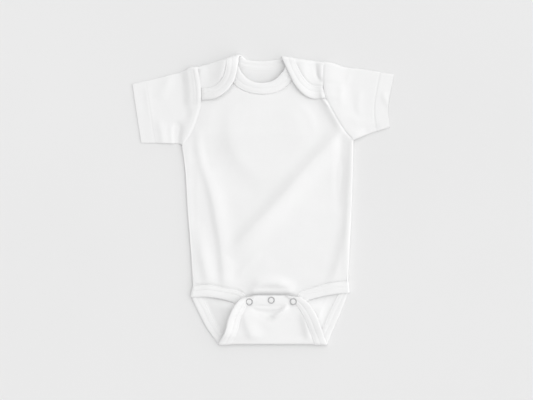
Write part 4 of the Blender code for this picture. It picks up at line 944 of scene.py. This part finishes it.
# ------------------------------------------------------------------ rib bands
def build_back_neck():
    neck_s, neck_f = Curve([(r[1], r[2]) for r in BACK_NECK]), Curve([(r[3], r[4]) for r in BACK_NECK])

    def lap_side(side):
        S, F = [], []
        s, f = Curve([(r[1], r[2]) for r in LAP[side]]), Curve([(r[3], r[4]) for r in LAP[side]])
        t = np.linspace(1.0, 0.0, 64)
        a, b = f(t), s(t)
        tilt = LAP_TILT[side] * smooth((1.0 - t) / (0.25 if side == "L" else 0.6)) * smooth(t / 0.2)
        a = a + unit(a - b) * (LAP_REACH[side] * mix(0.5, 1.0, smooth((1.0 - t) / 0.4)))[:, None]
        last = a[-1]
        for p, q, h in zip(a, b, tilt):
            F.append((*p, float(z_lap(*p)) + 0.1 + h))
            S.append((*q, float(z_lap(*q)) + 0.1))
        _, qn = fold_frame(side)
        end = 0.0 if side == "L" else 1.0
        for ang in np.linspace(180, 0, 13)[1:]:
            a = math.radians(ang)
            for out, lap, back in ((F, last, neck_f(end)), (S, s(0.0), neck_s(end))):
                p = mix(back, lap, ang / 180.0)
                z = mix(Z_BACK_BAND, float(z_lap(*p)) + 0.1, (1 - math.cos(a)) / 2)
                out.append((*(p + R_SHOULDER * math.sin(a) * qn), z))
        return S, F
    SL, FL = lap_side("L")
    SR, FR = lap_side("R")
    t = np.linspace(0, 1, 46)[1:-1]
    z = np.full((len(t), 1), Z_BACK_BAND)
    S = SL + list(map(tuple, np.concatenate([neck_s(t), z], 1))) + SR[::-1]
    F = FL + list(map(tuple, np.concatenate([neck_f(t), z], 1))) + FR[::-1]
    ob, lines, length = band("back_neck_band", S, F, M_RIB, sign=BAND_SIGN["back_neck"], wave=0.15, seed=5, pressed=(0.8, 0.5))
    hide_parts("back_neck_binding")
    return ob, lines, length


def build_front_neck():
    s, f = Curve([(r[1], r[2]) for r in FRONT_NECK]), Curve([(r[3], r[4]) for r in FRONT_NECK])
    t = np.linspace(0, 1, 110)
    a, b = f(t), s(t)
    F = np.concatenate([a, (z_front(a[:, 0], a[:, 1]) + 0.15 + 1.2 * smooth(t / 0.15) * smooth((1.0 - t) / 0.15))[:, None]], 1)
    S = np.concatenate([b, (z_front(b[:, 0], b[:, 1]) + 0.15)[:, None]], 1)
    ob, lines, length = band("front_neck_band", S, F, M_RIB, sign=BAND_SIGN["front_neck"], wave=0.12, seed=6)
    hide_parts("front_neck_binding")
    return ob, lines, length


def build_leg(side):
    left = side == "left"
    c, sgn = (1, 1.0) if left else (3, -1.0)
    seam, free = Curve([(r[c], r[c + 1]) for r in FRONT_LEG]), Curve([(r[c], r[c + 1]) for r in FRONT_LEG_FREE])
    S, F = [], []

    def z_leg(p):
        return float(z_front(*p)) + 0.2
    ex, ys, yf, lean = (-90.8, -113.0, -127.2, 3.2) if left else (110.6, -107.9, -121.6, 1.2)
    zt = z_leg((ex + sgn * 2.0, ys))
    r = (zt - Z_BACK_BAND) / 2
    to_f = np.array([ex + sgn * (r + 0.3 - lean), yf]) - free(0.0)          # the front part runs into the turn
    to_s = np.array([ex + sgn * (r + 0.3), ys]) - seam(0.0)
    for t in np.linspace(1.0, 0.0, 66):
        w = float(smooth((0.16 - t) / 0.16))
        a, b = free(t) + to_f * w, seam(t) + to_s * w
        F.append((*a, mix(z_leg(a), zt, w)))
        S.append((*b, mix(z_leg(b), zt, w)))
    hip_at = len(S) + 8
    for ang in np.linspace(180, 0, 17):
        a = math.radians(ang)
        x, z = ex + sgn * (r - r * math.sin(a)), mix(Z_BACK_BAND, zt, (1 - math.cos(a)) / 2)
        F.append((x - lean * sgn, yf, z))
        S.append((x, ys, z))
    hip = Curve([(q[c], q[c + 1]) for q in HIP_SEAM])
    row, cols = LEG_BACK[0], ((2, 3) if left else (5, 4))
    edge = Curve([(ex + sgn * (r - lean), yf), (ex + sgn * (r - lean + 1.6), yf - 5.0), (row[cols[0]], row[1])])
    for t in np.linspace(0, 1, 18)[1:]:
        F.append((*edge(t), Z_BACK_BAND))
        S.append((*hip(t), Z_BACK_BAND))
    gb = Graph([(q[1], q[cols[0]], q[cols[1]]) for q in LEG_BACK])
    gf = Graph([(q[1], q[cols[0]], q[cols[1]]) for q in LEG_FLAP])
    for y in np.linspace(-143.6, CROTCH_Y, 26)[1:-1]:
        f, s = gb(y)
        F.append((f, y, Z_BACK_BAND))
        S.append((s, y, Z_BACK_BAND))
    for ang in np.linspace(0, 180, 15):
        a, t = math.radians(ang), ang / 180.0
        f, s = mix(gb(CROTCH_Y), gf(CROTCH_Y), t)
        y = CROTCH_Y - R_CROTCH * math.sin(a)
        z = mix(Z_BACK_BAND, float(z_flap(0, CROTCH_Y)), (1 - math.cos(a)) / 2)
        F.append((f, y, z))
        S.append((s, y, z))
    for y in np.linspace(CROTCH_Y, -124.4, 44)[1:]:
        end = float(smooth((y + 142.0) / 17.6))                  # the flap's rounded top corner
        f, s = gf(y - (3.2 if left else 2.2) * end)[0], gf(y)[1]
        tilt = FLAP_TILT[side] * float(smooth((y - CROTCH_Y) / 16.0) * smooth((-126.0 - y) / 9.0))
        F.append((f, y - (3.2 if left else 2.2) * end, float(z_flap(s, y)) + tilt))
        S.append((s, y - 0.4 * end, float(z_flap(s, y)) + 0.1))
    S, F = np.array(S), np.array(F)
    run = np.concatenate([[0], np.cumsum(np.linalg.norm(np.diff((S + F) / 2, axis=0), axis=1))])
    ob, lines, length = band("leg_band_" + side, S, F, M_RIB, sign=BAND_SIGN[side], wave=0.14, seed=11 if left else 12,
                             grooves=((run[hip_at - (6 if left else 0)], 0.9),))
    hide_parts("leg_binding_" + side)
    return ob, lines, length


LAP_TILT = {"L": 2.6, "R": 1.4}
LAP_REACH = {"L": 0.0, "R": 2.0}
FLAP_TILT = {"left": 4.0, "right": 1.2}
BAND_SIGN = {"back_neck": -1.0, "front_neck": 1.0, "left": 1.0, "right": -1.0}


# ------------------------------------------------------------------ sleeves
def build_sleeve(side):
    left = side == "left"
    key = "L" if left else "R"
    tab = SLEEVE[key]
    top, under, cuff = (Curve([p[1:] for p in tab[n]]) for n in ("top", "under", "cuff"))
    arm = arm_l if left else arm_r
    out = -1.0 if left else 1.0
    rows_of = LEFT_SLEEVE_CREASES if left else RIGHT_SLEEVE_CREASES
    t_wall, half = SLEEVE_JERSEY, SLEEVE_JERSEY / 2
    h = np.linspace(0, 1, 54)
    arc = np.radians(np.linspace(0, 180, 13)[1:-1])
    length = 0.5 * (top.length + under.length)
    rho = (t_wall + 0.05) / 2
    vmax = 1.0 - (rho + half) / length

    def z_seam():
        """Height of the armhole seam on the body side."""
        p = arm(mix(0.03, 1.0, h))
        body = z_front(p[:, 0], p[:, 1])
        lap = z_lap(p[:, 0], p[:, 1])
        corner = 128.9 if left else 132.8
        near_lap = smooth((p[:, 1] - corner + 7.0) / 10.0)
        return mix(body, lap + (0.1 + 0.5 * smooth((p[:, 1] - 136.0) / 20.0) if left else 0.1), near_lap) + 0.1
    zs = z_seam()

    def loop(v):
        tp, up_ = top(v), under(v)
        dt = 0.01

        def normal(c, want):
            a, b = c(min(1.0, v + dt)), c(max(0.0, v - dt))
            n = unit(np.array([-(a[1] - b[1]), a[0] - b[0]]))
            return n if n[1] * want > 0 else -n
        nt, nb = normal(top, 1), normal(under, -1)
        # the seam allowance holds the sleeve up beside the armhole, most at the shoulder
        s = v * length
        rest = ((1.25 + 1.5 * clamp(1.0 - v / 0.9)) if left else (3.0 + 1.3 * (1 - v))) + (
            (0.2 if left else 0.6) * np.sin(math.pi * h) * smooth(v / 0.3) * smooth((1.15 - v) / 0.5))
        shoulder = smooth((h - 0.20) / 0.28)
        far = 11.0 - 5.0 * smooth((0.62 - h) / 0.22)                # the drop lies further out on the shoulder
        fall = (mix(smooth((s - 4.0) / 20.0), 0.27 * smooth((s - 2.5) / 8.5) + 0.73 * smooth((s - far) / 9.5), shoulder) if left
                else mix(smooth((s - 3.0) / 28.0), smooth((s - 4.0) / 26.0), shoulder))
        z_t = mix(zs + (0.4 * smooth(s / 3.0) if left else 0.1), rest, fall)
        z_t = z_t - (0.15 if left else 0.6) * np.exp(-(s / 1.2) ** 2)
        if left:
            z_t = z_t - 0.3 * smooth((h - 0.5) / 0.2) * np.exp(-((s - 5.6) / 0.9) ** 2)
        r1, r0 = (z_t[-1] - Z_BACK) / 2, (z_t[0] - Z_BACK) / 2
        p1, p0 = tp - nt * (r1 + half), up_ - nb * (r0 + half)
        if v == 0.0:
            loop.d0, loop.d1 = arm(0.03) - p0, arm(1.0) - p1
        nearby = clamp(1.0 - v / 0.3)
        p0, p1 = p0 + loop.d0 * nearby, p1 + loop.d1 * nearby
        s0, s1, q0, q1 = arm(0.03), arm(1.0), cuff(0.0), cuff(1.0)
        xy = (mix(p0, p1, h[:, None]) + (arm(mix(0.03, 1.0, h)) - mix(s0, s1, h[:, None])) * (1 - v)
              + (cuff(h) - mix(q0, q1, h[:, None])) * v)
        xy[:, 0] -= out * 0.2 * (1 - v)
        z_t = z_t + creases(xy[:, 0], xy[:, 1], rows_of) * smooth(v / 0.05) + 0.12 * ripple(xy[:, 0], xy[:, 1], 30.0, 21 if left else 22)
        z_t = np.maximum(z_t, 1.25 if left else 2.0)
        low = np.concatenate([xy, np.zeros((len(h), 1))], 1)
        high = np.concatenate([xy, (z_t + half)[:, None]], 1)
        r1, r0 = (z_t[-1] + half) / 2, (z_t[0] + half) / 2
        f1 = np.stack([xy[-1, 0] + nt[0] * r1 * np.sin(arc), xy[-1, 1] + nt[1] * r1 * np.sin(arc), r1 - r1 * np.cos(arc)], -1)
        f0 = np.stack([xy[0, 0] + nb[0] * r0 * np.sin(arc), xy[0, 1] + nb[1] * r0 * np.sin(arc), r0 - r0 * np.cos(arc)], -1)
        return np.concatenate([low, f1, high[::-1], f0[::-1], low[:1]])
    vs = np.concatenate([np.linspace(0, 0.13, 26), np.linspace(0.13, vmax - 21.0 / length, 28)[1:],
                         np.linspace(vmax - 21.0 / length, vmax, 32)[1:]])
    rows = np.array([loop(v) for v in vs])
    # distance to the cuff along each column, for the hem
    step = np.linalg.norm(np.diff(rows, axis=0), axis=2)
    to_cuff = np.concatenate([np.cumsum(step[::-1], axis=0)[::-1], np.zeros((1, rows.shape[1]))]) + rho + half
    nv, nu = rows.shape[:2]
    closed_idx = np.arange(nv * nu).reshape(nv, nu)
    closed_idx[:, -1] = closed_idx[:, 0]
    q = closed_idx.reshape(-1)[quads_of(nv, nu)]
    n = normals_of(rows.reshape(-1, 3), q).reshape(nv, nu, 3)
    n[:, -1] = n[:, 0]
    centre = rows.mean(axis=1, keepdims=True)
    if np.einsum("ijk,ijk->", n, rows - centre) < 0:
        n = -n
    upper = smooth((rows[..., 2] - 0.4) / 1.2)
    hem = (-0.1 if left else 0.2) * smooth((HEM_DEPTH + 0.8 - to_cuff) / 1.6) - (0.12 if left else 0.32) * np.exp(-((to_cuff - HEM_DEPTH) / 0.9) ** 2)
    rows = rows + n * (hem * upper)[..., None]
    along = unit(np.gradient(rows, axis=0))
    outer = rows - n * half
    gap = 2 * rho
    inner = outer - n * gap
    end_o, end_n, end_a = outer[-1], n[-1], along[-1]
    turn = []
    for ang in np.radians(np.linspace(0, 180, 9)[1:-1]):
        turn.append(end_o - end_n * rho + end_a * rho * math.sin(ang) + end_n * rho * math.cos(ang))
    keep_in = [k for k in range(nv) if to_cuff[k].mean() < HEM_DEPTH + 1.5]
    inside = inner[keep_in][::-1]
    P = np.concatenate([outer, np.array(turn), inside])
    run = np.concatenate([[0], np.cumsum(np.linalg.norm(np.diff(P[:, 30], axis=0), axis=1))])
    round_ = np.concatenate([[0], np.cumsum(np.linalg.norm(np.diff(P[nv // 2], axis=0), axis=1))])
    uv = np.stack(np.broadcast_arrays(round_[None, :], run[:, None]), -1)
    ob = shell("sleeve_cloth_" + side, P, t_wall, M_JERSEY, uv=uv, closed=True)
    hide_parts("sleeve_" + side)
    # the hem's stitch line, on the upper side
    line, ups = [], []
    for col in range(nu - 1):
        if upper[-1, col] < 0.9:
            continue
        d = to_cuff[:, col]
        k = np.interp(-HEM_DEPTH, -d, np.arange(nv))
        lo = int(k)
        p = mix(rows[lo, col], rows[min(lo + 1, nv - 1), col], k - lo)
        line.append(p - n[lo, col] * 0.05)
        ups.append(n[lo, col])
    around = float(np.linalg.norm(np.diff(rows[nv // 2], axis=0), axis=1).sum())
    return ob, [(np.array(line), np.array(ups))], (around, float(run[nv - 1] + HEM_DEPTH))


# ------------------------------------------------------------------ snaps
def lathe(name, profile, x, y, z, mat, steps=72, shape=None):
    """A turned piece from an outer-to-inner closed profile (radius, height)."""
    prof = np.array(profile, float)
    ang = np.arange(steps) * 2 * math.pi / steps
    r, h = np.broadcast_arrays(prof[None, :, 0], prof[None, :, 1]) 
    r, h = np.repeat(r, steps, 0), np.repeat(h, steps, 0)
    if shape is not None:
        r, h = shape(r, h, ang[:, None])
    v = np.stack([x + r * np.cos(ang)[:, None], y + r * np.sin(ang)[:, None], z + h], -1).reshape(-1, 3)
    k = len(prof)
    a = np.arange(steps)[:, None] * k + np.arange(k)[None]
    b = np.roll(a, -1, 0)
    q = np.stack([a, b, np.roll(b, -1, 1), np.roll(a, -1, 1)], -1).reshape(-1, 4)
    return make(name, v, [q], mat, v[:, :2])


def dome(name, radius, height, x, y, z, mat, steps=40, rings=8):
    """A small cushion of cloth: domed top, flat underside."""
    v, q, t = [(x, y, z + height)], [], []
    for k in range(1, rings + 1):
        a = k / rings
        for i in range(steps):
            th = 2 * math.pi * i / steps
            v.append((x + radius * a * math.cos(th), y + radius * a * math.sin(th), z + height * (1 - a ** 2.6)))
    for i in range(steps):
        j = (i + 1) % steps
        t.append((0, 1 + i, 1 + j))
        for k in range(rings - 1):
            q.append((1 + k * steps + i, 1 + (k + 1) * steps + i, 1 + (k + 1) * steps + j, 1 + k * steps + j))
    b0 = len(v)
    for i in range(steps):
        th = 2 * math.pi * i / steps
        v.append((x + radius * math.cos(th), y + radius * math.sin(th), z - 0.4))
    v.append((x, y, z - 0.4))
    for i in range(steps):
        j = (i + 1) % steps
        last = 1 + (rings - 1) * steps
        q.append((last + i, b0 + i, b0 + j, last + j))
        t.append((b0 + steps, b0 + j, b0 + i))
    v = np.array(v)
    return make(name, v, [np.array(q), np.array(t)], mat, v[:, :2])


def build_snaps():
    ro, ri = SNAP_D / 2, 3.05
    profile = [(ro, -0.35), (ro + 0.02, 0.05), (ro - 0.05, 0.28), (ro - 0.20, 0.50), (ro - 0.45, 0.66), (ro - 0.75, 0.72),
               (ro - 1.02, 0.66), (ro - 1.25, 0.50), (ri + 0.12, 0.28), (ri, 0.05), (ri, -0.35)]

    def prongs(r, h, a):
        dent = np.zeros(np.broadcast_shapes(r.shape, a.shape))
        for k in range(5):
            d = np.angle(np.exp(1j * (a - 0.6 - k * 2 * math.pi / 5)))
            dent = np.maximum(dent, np.exp(-(d / 0.16) ** 2))
        inner = smooth((ro - 0.7 - r) / 0.6)
        return r - 0.16 * dent * inner, h - 0.30 * dent * inner
    for name, x, y in SNAPS:
        zf = float(z_flap(x, y)) + float(flap_hem(y))
        top = zf + (1.15 if name != "2" else 0.45)
        ob = lathe("snap_ring_top_" + name, profile, x, y, top, M_METAL, shape=prongs)
        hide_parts("snap_cap_" + name)
        dome("snap_cloth_" + name, ri + 0.15, 0.35, x, y, top, M_JERSEY)
    for kind in ("socket", "stud", "ring"):
        for name, _, _ in SNAPS:
            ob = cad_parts["snap_%s_%s" % (kind, name)]
            ob.data.materials.clear()
            ob.data.materials.append(M_METAL)


# ------------------------------------------------------------------ build
front = build_front()
back = build_back()
back_neck, bn_lines, bn_len = build_back_neck()
front_neck, fn_lines, fn_len = build_front_neck()
leg_l_ob, ll_lines, ll_len = build_leg("left")
leg_r_ob, lr_lines, lr_len = build_leg("right")
sleeve_l, sl_lines, sl_size = build_sleeve("left")
sleeve_r, sr_lines, sr_size = build_sleeve("right")
build_snaps()
neck_stitches = dashes("stitches_neck", bn_lines + fn_lines, M_THREAD)
leg_stitches = dashes("stitches_legs", ll_lines + lr_lines, M_THREAD)
hem_stitches = dashes("stitches_hems", sl_lines + sr_lines, M_THREAD, length=0.9, gap=3.4, radius=0.16)
print("lengths", bn_len, fn_len, ll_len, lr_len, sl_size, sr_size)

# ------------------------------------------------------------------ floor, light and camera
floor_mesh = bpy.data.meshes.new("floor")
floor_mesh.from_pydata([(-4, -4, 0), (4, -4, 0), (4, 4, 0), (-4, 4, 0)], [], [(0, 1, 2, 3)])
floor = bpy.data.objects.new("floor", floor_mesh)
floor_mesh.materials.append(floor_material())
bpy.context.scene.collection.objects.link(floor)
floor.location.z = -0.00005

# A white studio: light from all round, stronger from the viewer's right, and a weak broad lamp at the upper left
WORLD, PULL, PULL_AZ = 0.915, 0.68, 7.0
SUN, SUN_SIZE, SUN_AZ, SUN_EL = 0.50, 40.0, 115.0, 60.0
az, el = math.radians(SUN_AZ), math.radians(SUN_EL)
world = bpy.data.worlds.new("studio")
bpy.context.scene.world = world
world.use_nodes = True
tree = world.node_tree
sky = tree.nodes["Background"]
sky.inputs["Color"].default_value = (1, 1, 1, 1)
way = tree.nodes.new("ShaderNodeTexCoord")
lean = tree.nodes.new("ShaderNodeVectorMath")
lean.operation = "DOT_PRODUCT"
lean.inputs[1].default_value = (PULL * math.cos(math.radians(PULL_AZ)), PULL * math.sin(math.radians(PULL_AZ)), 0.0)
total = tree.nodes.new("ShaderNodeMath")
total.operation = "ADD"
total.inputs[1].default_value = WORLD
tree.links.new(way.outputs["Generated"], lean.inputs[0])
tree.links.new(lean.outputs["Value"], total.inputs[0])
tree.links.new(total.outputs[0], sky.inputs["Strength"])

sun = bpy.data.lights.new("key", "SUN")
sun.energy = SUN
sun.angle = math.radians(SUN_SIZE)
key = bpy.data.objects.new("key", sun)
bpy.context.scene.collection.objects.link(key)
to_light = Vector((math.cos(az) * math.cos(el), math.sin(az) * math.cos(el), math.sin(el)))
key.rotation_mode = "QUATERNION"
key.rotation_quaternion = to_light.to_track_quat("Z", "Y")

cam_data = bpy.data.cameras.new("camera")
camera = bpy.data.objects.new("camera", cam_data)
bpy.context.scene.collection.objects.link(camera)
cam_data.lens = 100
cam_data.sensor_width = 36
camera.location = ((266.5 - 263.0) * 1.3 * MM + 0.0001, (199.5 - 200.0) * 1.3 * MM + 0.000155, 0.5 * 0 + 533 * 1.3 * MM * 100 / 36 + 0.004)
camera.rotation_euler = (0, 0, 0)
cam_data.clip_start, cam_data.clip_end = 0.05, 50
bpy.context.scene.camera = camera
bpy.context.scene.view_settings.view_transform = "Standard"
